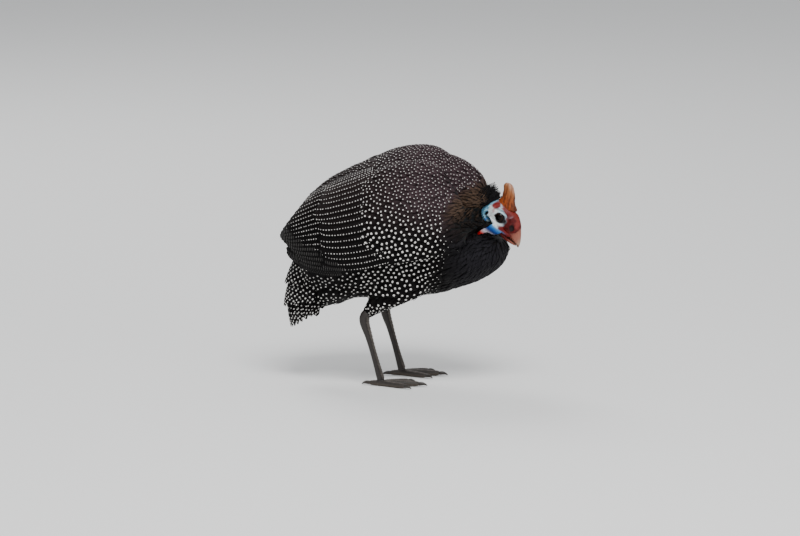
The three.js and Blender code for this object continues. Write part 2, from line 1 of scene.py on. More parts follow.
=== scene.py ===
"""A helmeted guineafowl at life size, standing hunched with its head drawn in.

Every size below is in millimetres, and meshes are made in metres. The bird faces +X and its left is +Y.
"""

import logging
import math
from dataclasses import dataclass, field
from enum import Enum
from typing import Callable

import bpy
import numpy as np
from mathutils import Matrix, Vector
from mathutils.bvhtree import BVHTree


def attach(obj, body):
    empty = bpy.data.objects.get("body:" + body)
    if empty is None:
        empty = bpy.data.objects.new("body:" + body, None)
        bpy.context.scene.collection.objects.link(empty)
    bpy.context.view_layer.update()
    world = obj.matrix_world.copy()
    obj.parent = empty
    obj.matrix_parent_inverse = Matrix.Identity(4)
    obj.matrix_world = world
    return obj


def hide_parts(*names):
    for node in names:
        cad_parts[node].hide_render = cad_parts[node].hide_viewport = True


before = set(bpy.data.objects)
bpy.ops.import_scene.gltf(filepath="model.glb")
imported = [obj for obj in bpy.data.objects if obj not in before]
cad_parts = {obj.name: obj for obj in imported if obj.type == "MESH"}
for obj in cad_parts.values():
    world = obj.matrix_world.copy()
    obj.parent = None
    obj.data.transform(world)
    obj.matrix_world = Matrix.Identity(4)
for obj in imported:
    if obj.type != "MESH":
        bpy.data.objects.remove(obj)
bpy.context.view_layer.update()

log = logging.getLogger("guineafowl")
logging.basicConfig(level=logging.INFO, format="%(message)s")

Array = np.ndarray
Pair = tuple[float, float]
Triple = tuple[float, float, float]
Line = tuple[Triple, ...]
Nodes = bpy.types.NodeTree
Node = bpy.types.Node
Piece = bpy.types.Object

MM = 0.001
BODY = "root"
TURN = 2 * math.pi
# The size of a feather's patch in the map of its bed, and the shaft length that fills the map of its vane.
PATCH = 0.003
VANE_MAP = 20
ANYWHERE = (-math.inf, math.inf)


class Side(Enum):
    """The bird's two sides, by the sign of Y."""

    LEFT = 1
    RIGHT = -1

    @property
    def word(self) -> str:
        """The side's name in piece and node names."""
        return self.name.lower()

    def of(self, line: Line) -> Line:
        """A line of the left side, placed on this side."""
        return tuple((x, y * self.value, z) for x, y, z in line)


class Paint:
    """The bird's colours, in linear light."""

    COVERED = (0.004, 0.004, 0.004)
    MARK = (0.80, 0.78, 0.75)
    FLECK = (0.11, 0.105, 0.11, 1)
    NAPE = (0.030, 0.15, 0.30)
    # Pale blue over the nape: paler towards the face, and in stripes that are painted light on the fold
    # crests with painted shade in the grooves.
    NAPE_FOLD = (0.22, 0.50, 0.64)
    CHEEK = (0.62, 0.72, 0.76)
    FACE = (0.105, 0.0032, 0.0030)
    FACE_DEEP = (0.030, 0.0012, 0.0016)
    CROWN = (0.16, 0.010, 0.004)
    # Painted shade: near black in the ear's opening.
    EAR = (0.004, 0.004, 0.006)
    # Painted shade: near black in the nostril.
    NOSTRIL = (0.006, 0.001, 0.001)
    WATTLE = (
        (0.13, 0.38, 0.60), (0.022, 0.12, 0.34), (0.008, 0.030, 0.13), (0.40, 0.34, 0.38),
        (0.36, 0.014, 0.008), (0.36, 0.010, 0.006),
    )
    EYE_RIM = (0.003, 0.002, 0.002)
    IRIS = (0.012, 0.004, 0.002)
    PUPIL = (0.0004, 0.0004, 0.0004)
    CASQUE = (0.27, 0.050, 0.008)
    CASQUE_PALE = (0.29, 0.105, 0.036)
    CASQUE_TIP = (0.46, 0.25, 0.165)
    # Painted shade in the casque's grooves and pits.
    CASQUE_GROOVE = (0.085, 0.020, 0.006)
    CASQUE_FRONT = (0.060, 0.014, 0.006)
    CASQUE_ROOT = (0.26, 0.022, 0.008)
    BILL = (0.12, 0.008, 0.006)
    BILL_PALE = (0.28, 0.095, 0.062)
    BILL_TIP = (0.40, 0.25, 0.17)
    # Painted shade along the mouth line where the bills meet.
    BILL_EDGE = (0.07, 0.028, 0.020)
    COAT = (0.0034, 0.0028, 0.0029)
    # Painted light from above: the coat is lighter towards the top of the body.
    COAT_HIGH = (0.0150, 0.0098, 0.0096)
    # Painted sheen: brown-purple on the upper back.
    MANTLE = (0.038, 0.0245, 0.0275)
    BREAST = (0.0100, 0.0094, 0.0115)
    RUFF_LOW = (0.010, 0.0075, 0.0065)
    RUFF_HIGH = (0.060, 0.038, 0.026)
    BRISTLE = (0.012, 0.011, 0.012)
    SHANK = (0.034, 0.029, 0.027)
    SOLE = (0.075, 0.060, 0.048)
    SCUTE = (0.078, 0.066, 0.058)
    CLAW = (0.030, 0.024, 0.020)
    FLOOR = (0.80, 0.80, 0.79, 1)
    SKY = (0.9, 0.92, 0.95, 1)


class Outline(Enum):
    """How a vane's width runs from its root to its tip."""

    CONTOUR = "contour"
    QUILL = "quill"
    BRISTLE = "bristle"
    SCUTE = "scute"

    def half(self, along: Array) -> Array:
        """Half width as a share of the widest.

        Args:
            along: Shares from the root, 0, to the tip, 1.

        Returns:
            The half widths, from 0 to 1.
        """
        if self is Outline.BRISTLE:
            return 0.12 + 0.88 * (1 - along) ** 0.8
        if self is Outline.SCUTE:
            return 1 - 0.45 * along**3
        root, bend = (0.45, 0.5) if self is Outline.CONTOUR else (0.5, 0.62)
        tip = np.sqrt(np.clip(1 - np.clip((along - bend) / (1.003 - bend), 0, 1) ** 2.4, 0, 1))
        return (root + (1 - root) * np.clip(along / 0.4, 0, 1)) * np.maximum(tip, 0.1)


# Numbers and surfaces


def spline(rows: Array, share: Array) -> Array:
    """A smooth curve through rows of numbers.

    Args:
        rows: The rows it passes, evenly spread over its length.
        share: Where to read it, from 0 to 1.

    Returns:
        One row for each share.
    """
    rows = np.asarray(rows, float)
    count = len(rows)
    padded = np.vstack([2 * rows[0] - rows[1], rows, 2 * rows[-1] - rows[-2]])
    at = np.clip(share, 0, 1) * (count - 1)
    index = np.minimum(at.astype(int), count - 2)
    t = (at - index)[..., None]
    before, start, end, after = (padded[index + k] for k in range(4))
    return 0.5 * (
        2 * start
        + (end - before) * t
        + (2 * before - 5 * start + 4 * end - after) * t**2
        + (3 * start - before - 3 * end + after) * t**3
    )


def unit(vectors: Array) -> Array:
    """The vectors at length one."""
    return vectors / np.maximum(np.linalg.norm(vectors, axis=-1, keepdims=True), 1e-9)


def smoothstep(low: float, high: float, value: Array) -> Array:
    """0 below low, 1 above high and a soft step between."""
    t = np.clip((value - low) / (high - low), 0, 1)
    return t * t * (3 - 2 * t)


def between(start: Array | float, end: Array | float, share: Array | float) -> Array | float:
    """start where the share is 0 and end where it is 1."""
    return start + (end - start) * share


def blend(rows: Array, over: Array | Triple, mask: Array) -> Array:
    """The rows where the mask is 0 and over where it is 1."""
    return between(rows, np.asarray(over), mask[..., None])


def painted(count: int, base: Triple, *layers: tuple[Array | Triple, Array]) -> Array:
    """Colours with soft layers one over the other.

    Args:
        count: How many points there are.
        base: The colour under all layers.
        layers: Each layer's colour and its mask.

    Returns:
        A colour for each point.
    """
    colours = np.tile(base, (count, 1))
    for colour, mask in layers:
        colours = blend(colours, colour, mask)
    return colours


@dataclass(frozen=True)
class SlicedForm:
    """A form told by upright slices.

    Each slice is its X, top Z, bottom Z and half width.
    """

    slices: tuple[tuple[float, float, float, float], ...]
    waist: float = 0.5

    def surface(self, share: Array, angle: Array) -> Array:
        """Points on the form.

        Args:
            share: How far along, from 0 to 1.
            angle: Where round it; 0 is the top, and it grows down the left side.

        Returns:
            A row for each share.
        """
        x, top, bottom, half = np.moveaxis(spline(self.slices, share), -1, 0)
        middle = bottom + (top - bottom) * self.waist
        cosine = np.cos(angle)
        reach = np.where(cosine > 0, top - middle, middle - bottom)
        return np.stack([x, np.sin(angle) * np.maximum(half, 0), middle + cosine * reach], -1)

    def normal(self, share: Array, angle: Array) -> Array:
        """Outward directions on the form.

        Args:
            share: How far along, from 0 to 1.
            angle: Where round it.

        Returns:
            A row of length one for each share.
        """
        step = 0.002
        inside = np.clip(share, 0.01, 0.99)
        along = self.surface(inside + step, angle) - self.surface(inside - step, angle)
        around = self.surface(inside, angle + step) - self.surface(inside, angle - step)
        normal = unit(np.cross(around, along))
        outwards = self.surface(inside, angle) - self.surface(inside, angle + math.pi)
        return np.where((normal * outwards).sum(-1, keepdims=True) < 0, -normal, normal)

    def lifted(self, share: Array, angle: Array, lift: Array) -> Array:
        """Points that stand so far off the form."""
        return self.surface(share, angle) + self.normal(share, angle) * np.asarray(lift)[..., None]

    def share_at(self, x: Array) -> Array:
        """The shares at which the form's slices stand at these X.

        Args:
            x: Where the slices stand.

        Returns:
            A share for each X.
        """
        shares = np.linspace(0, 1, 600)
        stations = spline(self.slices, shares)[:, 0]
        order = np.argsort(stations)
        return np.interp(x, stations[order], shares[order])

    def shell(self, rings: int, sides: int, lift: float = 0.0) -> "Shell":
        """The form as a closed shell, lifted outwards by so much.

        Args:
            rings: Steps along it.
            sides: Steps round it.
            lift: How far it stands off the form.

        Returns:
            The closed shell.
        """

        def place(share: Array, angle: Array) -> Array:
            """Points of the lifted form."""
            ends = np.sin(math.pi * share) ** 0.25
            return self.surface(share, angle) + self.normal(share, angle) * (lift * ends)[..., None]

        return Shell.wrapped(place, rings, sides)


@dataclass(frozen=True)
class Limb:
    """A round-ended limb along a line, with its half depth and half width at even shares of it."""

    line: Line
    depth: tuple[float, ...]
    width: tuple[float, ...]
    across: Triple = (0, 1, 0)
    axis: Triple | None = None

    def place(self, share: Array, angle: Array, lift: float = 0.0) -> Array:
        """Points on the limb.

        Args:
            share: How far along, from 0 to 1.
            angle: Where round it; 0 is on its depth axis.
            lift: How far the points stand off it.

        Returns:
            A row for each share.
        """
        roundness = 7
        end = (1 - np.abs(2 * share - 1) ** roundness) ** (1 / roundness)
        point, depth_axis, width_axis = self.axes(share)
        depth, width = self.radii(share)
        return (
            point
            + depth_axis * (np.cos(angle) * end * (depth + lift))[..., None]
            + width_axis * (np.sin(angle) * end * (width + lift))[..., None]
        )

    def radii(self, share: Array) -> tuple[Array, Array]:
        """The half depths and half widths at these shares."""
        depth, width = (spline(np.array(rows)[:, None], share)[..., 0] for rows in (self.depth, self.width))
        return depth, width

    def axes(self, share: Array) -> tuple[Array, Array, Array]:
        """The limb's middle points and its depth and width axes at these shares.

        Args:
            share: How far along, from 0 to 1.

        Returns:
            Middle points, depth axes and width axes.
        """
        inside = np.clip(share, 0.002, 0.998)
        tangent = spline(self.line, inside + 0.002) - spline(self.line, inside - 0.002)
        if self.axis is not None:
            tangent = np.broadcast_to(np.array(self.axis, float), tangent.shape)
        tangent = unit(tangent)
        depth_axis = unit(np.cross(np.array(self.across, float), tangent))
        return spline(self.line, share), depth_axis, unit(np.cross(tangent, depth_axis))

    def shell(self, rings: int, sides: int, lift: float = 0.0) -> "Shell":
        """The limb as a closed shell, with its rings closer at the ends.

        Args:
            rings: Steps along it.
            sides: Steps round it.
            lift: How far it stands off the limb.

        Returns:
            The closed shell.
        """

        def place(ring_share: Array, angle: Array) -> Array:
            """Points of the limb, read at shares that crowd at its ends."""
            return self.place((1 - np.cos(math.pi * ring_share)) / 2, angle, lift)

        return Shell.wrapped(place, rings, sides)


# Meshes


@dataclass
class Shell:
    """Points and faces of a mesh before it becomes a piece."""

    points: Array
    faces: list[Array]

    @staticmethod
    def wrapped(place: Callable[[Array, Array], Array], rings: int, sides: int) -> "Shell":
        """A ball of rings whose points place() gives.

        Args:
            place: Takes shares and angles of one shape, and gives points.
            rings: Steps from pole to pole.
            sides: Steps round each ring.

        Returns:
            The closed shell.
        """
        share = np.linspace(0, 1, rings + 1)[1:-1, None] * np.ones((1, sides))
        angle = np.linspace(0, TURN, sides, endpoint=False)[None] * np.ones((rings - 1, 1))
        poles = place(np.array([0.0, 1.0]), np.zeros(2))
        points = np.vstack([poles[:1], place(share, angle).reshape(-1, 3), poles[1:]])
        column = np.arange(sides)
        following = (column + 1) % sides
        first = np.stack([np.zeros(sides, int), 1 + column, 1 + following], -1)
        base = 1 + (rings - 2) * sides
        last = np.stack([np.full(sides, len(points) - 1), base + following, base + column], -1)
        row = (1 + np.arange(rings - 2) * sides)[:, None]
        quads = np.stack(
            [row + column, row + sides + column, row + sides + following, row + following], -1
        ).reshape(-1, 4)
        shell = Shell(points, [first, last, quads])
        return shell if shell.volume() > 0 else shell.flipped()

    def volume(self) -> float:
        """The signed volume, which is positive where the faces point outwards.

        Returns:
            Cubic millimetres.
        """
        total = 0.0
        for faces in self.faces:
            for k in range(1, faces.shape[1] - 1):
                a, b, c = (self.points[faces[:, i]] for i in (0, k, k + 1))
                total += (a * np.cross(b, c)).sum() / 6
        return total

    def flipped(self) -> "Shell":
        """The same shell with its faces turned round."""
        return Shell(self.points, [faces[:, ::-1] for faces in self.faces])

    @staticmethod
    def repeated(points: Array, faces: list[Array]) -> "Shell":
        """Many small shells with the same faces.

        Args:
            points: One row of points for each.
            faces: The faces of one.

        Returns:
            All of them in one shell.
        """
        starts = (np.arange(len(points)) * points.shape[1])[:, None, None]
        return Shell(points.reshape(-1, 3), [(group + starts).reshape(-1, group.shape[1]) for group in faces])

    @staticmethod
    def joined(shells: list["Shell"]) -> "Shell":
        """Many shells as one, still as separate surfaces.

        Args:
            shells: The shells to join.

        Returns:
            One shell of all their faces.
        """
        faces: dict[int, list[Array]] = {}
        start = 0
        for shell in shells:
            for group in shell.faces:
                faces.setdefault(group.shape[1], []).append(group + start)
            start += len(shell.points)
        points = np.vstack([shell.points for shell in shells])
        return Shell(points, [np.vstack(groups) for groups in faces.values()])

    def piece(self, name: str) -> Piece:
        """The shell as a mesh object with its place in its mesh.

        Args:
            name: The piece's name.

        Returns:
            The new object.
        """
        mesh = bpy.data.meshes.new(name)
        mesh.vertices.add(len(self.points))
        mesh.vertices.foreach_set("co", (self.points * MM).astype(np.float32).ravel())
        corners = np.concatenate([faces.ravel() for faces in self.faces])
        totals = np.concatenate([np.full(len(faces), faces.shape[1]) for faces in self.faces])
        mesh.loops.add(len(corners))
        mesh.loops.foreach_set("vertex_index", corners.astype(np.int32))
        mesh.polygons.add(len(totals))
        mesh.polygons.foreach_set("loop_start", (np.cumsum(totals) - totals).astype(np.int32))
        mesh.update(calc_edges=True)
        mesh.validate()
        piece = bpy.data.objects.new(name, mesh)
        bpy.context.scene.collection.objects.link(piece)
        return piece


def choose(active: Piece, *others: Piece) -> None:
    """Selects these pieces alone, and makes the first of them the active one.

    Args:
        active: The piece that becomes the active one.
        others: More pieces to select.
    """
    bpy.ops.object.select_all(action="DESELECT")
    for piece in (active, *others):
        piece.select_set(True)
    bpy.context.view_layer.objects.active = active


def apply(piece: Piece, kind: str, **values: object) -> None:
    """Adds a modifier with these values and applies it.

    Args:
        piece: The piece to change.
        kind: The modifier's kind.
        values: The modifier's settings.
    """
    choose(piece)
    modifier = piece.modifiers.new(kind.title(), kind)
    for key, value in values.items():
        setattr(modifier, key, value)
    bpy.ops.object.modifier_apply(modifier=modifier.name)


def fused(piece: Piece, voxel: float, rounds: int, factor: float = 0.5) -> None:
    """Makes overlapping closed surfaces one, and softens where they meet.

    Args:
        piece: The piece whose mesh holds the surfaces.
        voxel: The grid's pitch.
        rounds: How often the surface is smoothed.
        factor: How far each smoothing goes.
    """
    apply(piece, "REMESH", mode="VOXEL", voxel_size=voxel * MM, use_smooth_shade=True)
    if rounds:
        apply(piece, "SMOOTH", factor=factor, iterations=rounds)


def vertex_rows(piece: Piece, what: str) -> Array:
    """What a piece's vertices hold under this name, in threes."""
    flat = np.empty(len(piece.data.vertices) * 3, np.float32)
    piece.data.vertices.foreach_get(what, flat)
    return flat.reshape(-1, 3).astype(float)


def points_of(piece: Piece) -> Array:
    """A piece's vertices, in millimetres."""
    return vertex_rows(piece, "co") / MM


def normals_of(piece: Piece) -> Array:
    """The outward directions at a piece's vertices."""
    return vertex_rows(piece, "normal")


def move_points(piece: Piece, points: Array) -> None:
    """Puts a piece's vertices at these places."""
    piece.data.vertices.foreach_set("co", (points * MM).astype(np.float32).ravel())
    piece.data.update()


@dataclass(frozen=True)
class Ground:
    """A finished surface on which the nearest places can be looked up."""

    tree: BVHTree

    @staticmethod
    def of(piece: Piece, points: Array) -> "Ground":
        """The surface of a piece whose vertices stand at these points."""
        faces = [tuple(face.vertices) for face in piece.data.polygons]
        return Ground(BVHTree.FromPolygons([Vector(point) for point in points], faces))

    def nearest(self, points: Array) -> tuple[Array, Array, Array]:
        """Looks up the surface near many points.

        Args:
            points: Where to look.

        Returns:
            The nearest places on the surface, its outward directions there and their distances.
        """
        places, normals = np.empty_like(points), np.empty_like(points)
        distances = np.empty(len(points))
        for i, point in enumerate(points):
            places[i], normals[i], _, distances[i] = self.tree.find_nearest(Vector(point))
        return places, normals, distances


def tint(piece: Piece, colours: Array) -> None:
    """Stores one colour for each vertex, which the materials read.

    Args:
        piece: The piece to colour.
        colours: Rows of red, green and blue, in linear light.
    """
    layer = piece.data.color_attributes.new("tint", "FLOAT_COLOR", "POINT")
    rows = np.ones((len(colours), 4), np.float32)
    rows[:, :3] = np.clip(colours, 0, 1)
    layer.data.foreach_set("color", rows.ravel())


def map_uv(piece: Piece, name: str, places: Array) -> None:
    """Gives a piece a UV map from one place for each vertex.

    Args:
        piece: The piece to map.
        name: The map's name.
        places: A place in the map for each vertex.
    """
    layer = piece.data.uv_layers.new(name=name)
    corners = np.empty(len(piece.data.loops), np.int32)
    piece.data.loops.foreach_get("vertex_index", corners)
    layer.data.foreach_set("uv", places[corners].astype(np.float32).ravel())


# Finishes


def add_node(tree: Nodes, kind: str, inputs: dict | None = None, **settings: object) -> Node:
    """Adds a shader node.

    Args:
        tree: The nodes it joins.
        kind: Its kind.
        inputs: Values of its inputs, by name or place.
        settings: Values of its settings.

    Returns:
        The node.
    """
    made = tree.nodes.new(f"ShaderNode{kind}")
    for key, value in settings.items():
        setattr(made, key, value)
    for key, value in (inputs or {}).items():
        made.inputs[key].default_value = value
    return made


def add_links(tree: Nodes, *links: tuple[Node, str | int, Node, str | int]) -> None:
    """Adds links, each told as a node, its output, the next node and that one's input."""
    for start, output, end, entry in links:
        tree.links.new(start.outputs[output], end.inputs[entry])


def new_group(name: str, *sockets: tuple[str, str, str, float | None]) -> tuple[Nodes, Node, Node]:
    """Starts a node group.

    Args:
        name: The group's name.
        sockets: Each socket's name, way, kind and value.

    Returns:
        The group and its entry and exit.
    """
    group = bpy.data.node_groups.new(name, "ShaderNodeTree")
    for label, way, kind, value in sockets:
        made = group.interface.new_socket(name=label, in_out=way, socket_type=f"NodeSocket{kind}")
        if value is not None:
            made.default_value = value
    return group, group.nodes.new("NodeGroupInput"), group.nodes.new("NodeGroupOutput")


def grain_group() -> Nodes:
    """Fine uneven grain for skin, horn and scales, built once.

    Returns:
        A group that darkens a colour in specks and puts out a height.
    """
    name = "fine grain"
    if name in bpy.data.node_groups:
        return bpy.data.node_groups[name]
    group, enter, leave = new_group(
        name,
        ("Colour", "INPUT", "Color", None), ("Scale", "INPUT", "Float", 900.0),
        ("Contrast", "INPUT", "Float", 0.3), ("Colour", "OUTPUT", "Color", None),
        ("Height", "OUTPUT", "Float", None),
    )
    place = add_node(group, "TexCoord")
    cells = add_node(group, "TexVoronoi")
    drift = add_node(group, "TexNoise", {"Detail": 4.0})
    slow = add_node(group, "Math", {1: 0.35}, operation="MULTIPLY")
    mask = add_node(group, "Math", operation="MULTIPLY")
    darker = add_node(group, "Mix", data_type="RGBA", blend_type="MULTIPLY")
    add_links(
        group,
        (place, "Object", cells, "Vector"), (place, "Object", drift, "Vector"),
        (enter, "Scale", cells, "Scale"), (enter, "Scale", slow, 0), (slow, 0, drift, "Scale"),
        (drift, "Fac", mask, 0), (enter, "Contrast", mask, 1), (mask, 0, darker, "Factor"),
        (enter, "Colour", darker, "A"), (cells, "Distance", darker, "B"),
        (darker, "Result", leave, "Colour"), (cells, "Distance", leave, "Height"),
    )
    return group


def barb_group() -> Nodes:
    """The barbs of a feather, which slant from its shaft to its edges, built once.

    Returns:
        A group that puts out a height and a mask of pale flecks, read from the vane's own UV map.
    """
    name = "barbs"
    if name in bpy.data.node_groups:
        return bpy.data.node_groups[name]
    group, enter, leave = new_group(
        name,
        ("Rows", "INPUT", "Float", 60.0), ("Height", "OUTPUT", "Float", None),
        ("Flecks", "OUTPUT", "Float", None),
    )
    place = add_node(group, "UVMap", uv_map="vane")
    split = add_node(group, "SeparateXYZ")
    centre = add_node(group, "Math", {1: 0.5}, operation="SUBTRACT")
    away = add_node(group, "Math", operation="ABSOLUTE")
    slant = add_node(group, "Math", {1: 0.35}, operation="MULTIPLY")
    along = add_node(group, "Math", operation="SUBTRACT")
    rows = add_node(group, "Math", operation="MULTIPLY")
    wave = add_node(group, "Math", operation="SINE")
    fleck = add_node(group, "Math", {1: 0.58}, operation="GREATER_THAN")
    speckle = add_node(group, "TexNoise", {"Scale": 420.0, "Detail": 3.0})
    spot = add_node(group, "TexCoord")
    add_links(
        group,
        (place, "UV", split, 0), (split, "X", centre, 0), (centre, 0, away, 0), (away, 0, slant, 0),
        (split, "Y", along, 0), (slant, 0, along, 1), (along, 0, rows, 0), (enter, "Rows", rows, 1),
        (rows, 0, wave, 0), (wave, 0, leave, "Height"), (spot, "Object", speckle, "Vector"),
        (speckle, "Fac", fleck, 0), (fleck, 0, leave, "Flecks"),
    )
    return group


@dataclass(frozen=True)
class Finish:
    """A finish whose colour comes from the piece's tint."""

    name: str
    roughness: float
    grain: float = 900.0
    contrast: float = 0.3
    relief: float = 0.15
    coat: float = 0.0
    soft: float = 0.0
    through: float = 0.0
    shine: float = 0.35

    def material(self) -> bpy.types.Material:
        """The material, built once.

        Returns:
            The material.
        """
        if self.name in bpy.data.materials:
            return bpy.data.materials[self.name]
        made = bpy.data.materials.new(self.name)
        made.use_nodes = True
        tree = made.node_tree
        shader = tree.nodes["Principled BSDF"]
        values = {
            "Roughness": self.roughness,
            "Coat Weight": self.coat,
            "Coat Roughness": 0.12,
            "Sheen Weight": self.soft,
            "Sheen Roughness": 0.45,
            "Specular IOR Level": self.shine,
            "Subsurface Weight": self.through,
            "Subsurface Scale": 0.003,
        }
        for key, value in values.items():
            shader.inputs[key].default_value = value
        self.dress(tree, shader, add_node(tree, "Attribute", attribute_name="tint"))
        return made

    def dress(self, tree: Nodes, shader: Node, colour: Node) -> None:
        """Adds the grain to the colour and the surface.

        Args:
            tree: The material's nodes.
            shader: Its shader.
            colour: The node that reads the tint.
        """
        grain = add_node(tree, "Group", node_tree=grain_group())
        grain.inputs["Scale"].default_value = self.grain
        grain.inputs["Contrast"].default_value = self.contrast
        add_links(tree, (colour, "Color", grain, "Colour"), (grain, "Colour", shader, "Base Color"))
        self.raise_surface(tree, shader, grain, 0.0004)

    def raise_surface(self, tree: Nodes, shader: Node, source: Node, height: float) -> None:
        """Bumps the surface by a node's height.

        Args:
            tree: The material's nodes.
            shader: Its shader.
            source: The node that puts out the height.
            height: The height of its highest places, in metres.
        """
        bump = add_node(tree, "Bump", {"Strength": self.relief, "Distance": height})
        add_links(tree, (source, "Height", bump, "Height"), (bump, "Normal", shader, "Normal"))


@dataclass(frozen=True)
class FeatherFinish(Finish):
    """Feather vanes: barbs in relief and pale flecks in their colour."""

    rows: float = 60.0
    flecks: float = 0.5

    def dress(self, tree: Nodes, shader: Node, colour: Node) -> None:
        """Adds the barbs and flecks.

        Args:
            tree: The material's nodes.
            shader: Its shader.
            colour: The node that reads the tint.
        """
        barbs = add_node(tree, "Group", node_tree=barb_group())
        barbs.inputs["Rows"].default_value = self.rows
        pale = add_node(tree, "Mix", {"B": Paint.FLECK}, data_type="RGBA")
        share = add_node(tree, "Math", {1: self.flecks}, operation="MULTIPLY")
        add_links(
            tree,
            (barbs, "Flecks", share, 0), (share, 0, pale, "Factor"), (colour, "Color", pale, "A"),
            (pale, "Result", shader, "Base Color"),
        )
        self.raise_surface(tree, shader, barbs, 0.0003)


class Finishes:
    """The bird's finishes, by what they cover."""

    PLUMAGE = FeatherFinish("feather vanes", 0.6, soft=0.0, relief=0.25, flecks=0.02, shine=0.06)
    COLLAR = FeatherFinish("collar down", 0.85, soft=0.02, relief=0.3, flecks=0.03, shine=0.03)
    SPOT = Finish("white spots", 0.8, grain=2500, contrast=0.08, relief=0.05, shine=0.1)
    SKIN = Finish("bare skin", 0.52, grain=1300, contrast=0.3, relief=0.35, through=0.06, shine=0.2)
    CASQUE = Finish("casque horn", 0.55, grain=420, contrast=0.55, relief=0.6, shine=0.2)
    BILL = Finish("bill horn", 0.35, grain=700, contrast=0.3, relief=0.15, coat=0.05, shine=0.25)
    EYE = Finish("wet eye", 0.05, grain=300, contrast=0.0, relief=0.0, coat=0.05, shine=0.08)
    LEG = Finish("leg scales", 0.5, grain=1500, contrast=0.4, relief=0.3, shine=0.25)
    CLAW = Finish("claw horn", 0.4, grain=900, contrast=0.4, relief=0.2, coat=0.15)


def dress(piece: Piece, finish: Finish, slot: str, nodes: tuple[str, ...] = ()) -> None:
    """Gives a piece its finish and ties it to the frame.

    Args:
        piece: The finished piece.
        finish: Its finish.
        slot: The record's material slot; not used.
        nodes: The CAD nodes it stands for.
    """
    piece.data.materials.clear()
    piece.data.materials.append(finish.material())
    piece.data.polygons.foreach_set("use_smooth", np.ones(len(piece.data.polygons), bool))
    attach(piece, BODY)
    if nodes:
        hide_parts(*nodes)
    log.info("%s: %d faces", piece.name, len(piece.data.polygons))


# Vanes


@dataclass
class Spines:
    """The shafts of many vanes, each in even steps from its root to its tip."""

    points: Array
    normals: Array
    sides: Array
    widths: Array
    roots: Array
    tints: Array

    @property
    def lengths(self) -> Array:
        """Each shaft's length."""
        return np.linalg.norm(np.diff(self.points, axis=1), axis=-1).sum(1)

    def read(self, rows: Array, index: Array, along: Array) -> Array:
        """Rows of numbers along the shafts, read between their steps.

        Args:
            rows: What is read: a row for each step of each shaft.
            index: Which shafts.
            along: Where along them, from 0 to 1.

        Returns:
            A row for each place.
        """
        at = np.clip(along, 0, 1) * (rows.shape[1] - 1)
        low = np.minimum(at.astype(int), rows.shape[1] - 2)
        t = (at - low)[..., None]
        return rows[index, low] * (1 - t) + rows[index, low + 1] * t

    @staticmethod
    def together(beds: list["Spines"]) -> "Spines":
        """Several beds of the same step count as one."""
        names = Spines.__dataclass_fields__
        return Spines(*(np.concatenate([getattr(bed, name) for bed in beds]) for name in names))


@dataclass(frozen=True)
class VaneCut:
    """The cut of the vanes of one bed."""

    outline: Outline = Outline.CONTOUR
    columns: int = 5
    thick: float = 0.5
    camber: float = 0.12
    ragged: float = 0.0

    def top(self, spines: Spines, index: Array, along: Array, across: Array) -> Array:
        """Points on the upper faces of vanes.

        Args:
            spines: The shafts.
            index: Which shafts.
            along: Where along them, from 0 to 1.
            across: Where across the vanes, from -1 to 1.

        Returns:
            A row for each place.
        """
        point = spines.read(spines.points, index, along)
        normal = spines.read(spines.normals, index, along)
        side = spines.read(spines.sides, index, along)
        half = spines.widths[index] * self.outline.half(along)
        rise = self.thick * (1 - across**2) - self.camber * half * across**2
        return point + side * (half * across)[..., None] + normal * rise[..., None]

    def build(self, name: str, spines: Spines, seed: int) -> Piece:
        """All the vanes of a bed as one mesh of closed, thin, cambered blades.

        Args:
            name: The piece's name.
            spines: The shafts.
            seed: For the ragged edges.

        Returns:
            The piece, tinted and mapped.
        """
        count, steps = spines.points.shape[:2]
        columns = self.columns
        index, step, column = np.meshgrid(
            np.arange(count), np.arange(steps), np.arange(columns), indexing="ij"
        )
        along = step / (steps - 1)
        across = column / (columns - 1) * 2 - 1.0
        if self.ragged:
            noise = np.random.default_rng(seed).uniform(-1, 1, across.shape) * self.ragged
            edge = (np.abs(across) > 0.99) & (step > 0)
            across = across * (1 + np.where(edge, noise, 0))
        top = self.top(spines, index, along, across).reshape(count, -1, 3)
        middle = np.broadcast_to(np.arange(count)[:, None], (count, steps))
        way = np.broadcast_to(np.linspace(0, 1, steps)[None], (count, steps))
        under = self.top(spines, middle, way, np.zeros_like(way))
        under = under - spines.normals * (self.thick * 1.4 + 0.05)
        points = np.concatenate([top, under], 1)
        piece = Shell.repeated(points, self.faces(steps)).piece(name)
        u = np.concatenate([across.reshape(count, -1) / 2 + 0.5, np.full((count, steps), 0.5)], 1)
        v = np.concatenate([along.reshape(count, -1), way], 1)
        vane = np.stack([u, v * (spines.lengths / VANE_MAP)[:, None]], -1)
        patch = spines.roots[:, None, :] + (np.stack([u, v], -1) - 0.5) * PATCH
        map_uv(piece, "OFBake", patch.reshape(-1, 2))
        map_uv(piece, "vane", vane.reshape(-1, 2))
        tint(piece, np.repeat(spines.tints[:, None, :], points.shape[1], 1).reshape(-1, 3))
        return piece

    def faces(self, steps: int) -> list[Array]:
        """The faces of one vane: its top, its underside and its two ends.

        Args:
            steps: Steps along the shaft.

        Returns:
            Faces of four corners, and the two ends.
        """
        columns = self.columns
        k, c = np.meshgrid(np.arange(steps - 1), np.arange(columns - 1), indexing="ij")
        corner = (k * columns + c).ravel()
        top = np.stack([corner, corner + columns, corner + columns + 1, corner + 1], -1)
        row = np.arange(steps - 1)
        under = steps * columns + row
        left, right = row * columns, row * columns + columns - 1
        on_left = np.stack([left, under, under + 1, left + columns], -1)
        on_right = np.stack([under, right, right + columns, under + 1], -1)
        rim = np.arange(columns)
        root = np.concatenate([rim, [steps * columns]])
        tip = np.concatenate([((steps - 1) * columns + rim)[::-1], [steps * columns + steps - 1]])
        return [np.vstack([top, on_left, on_right]), np.stack([root, tip])]


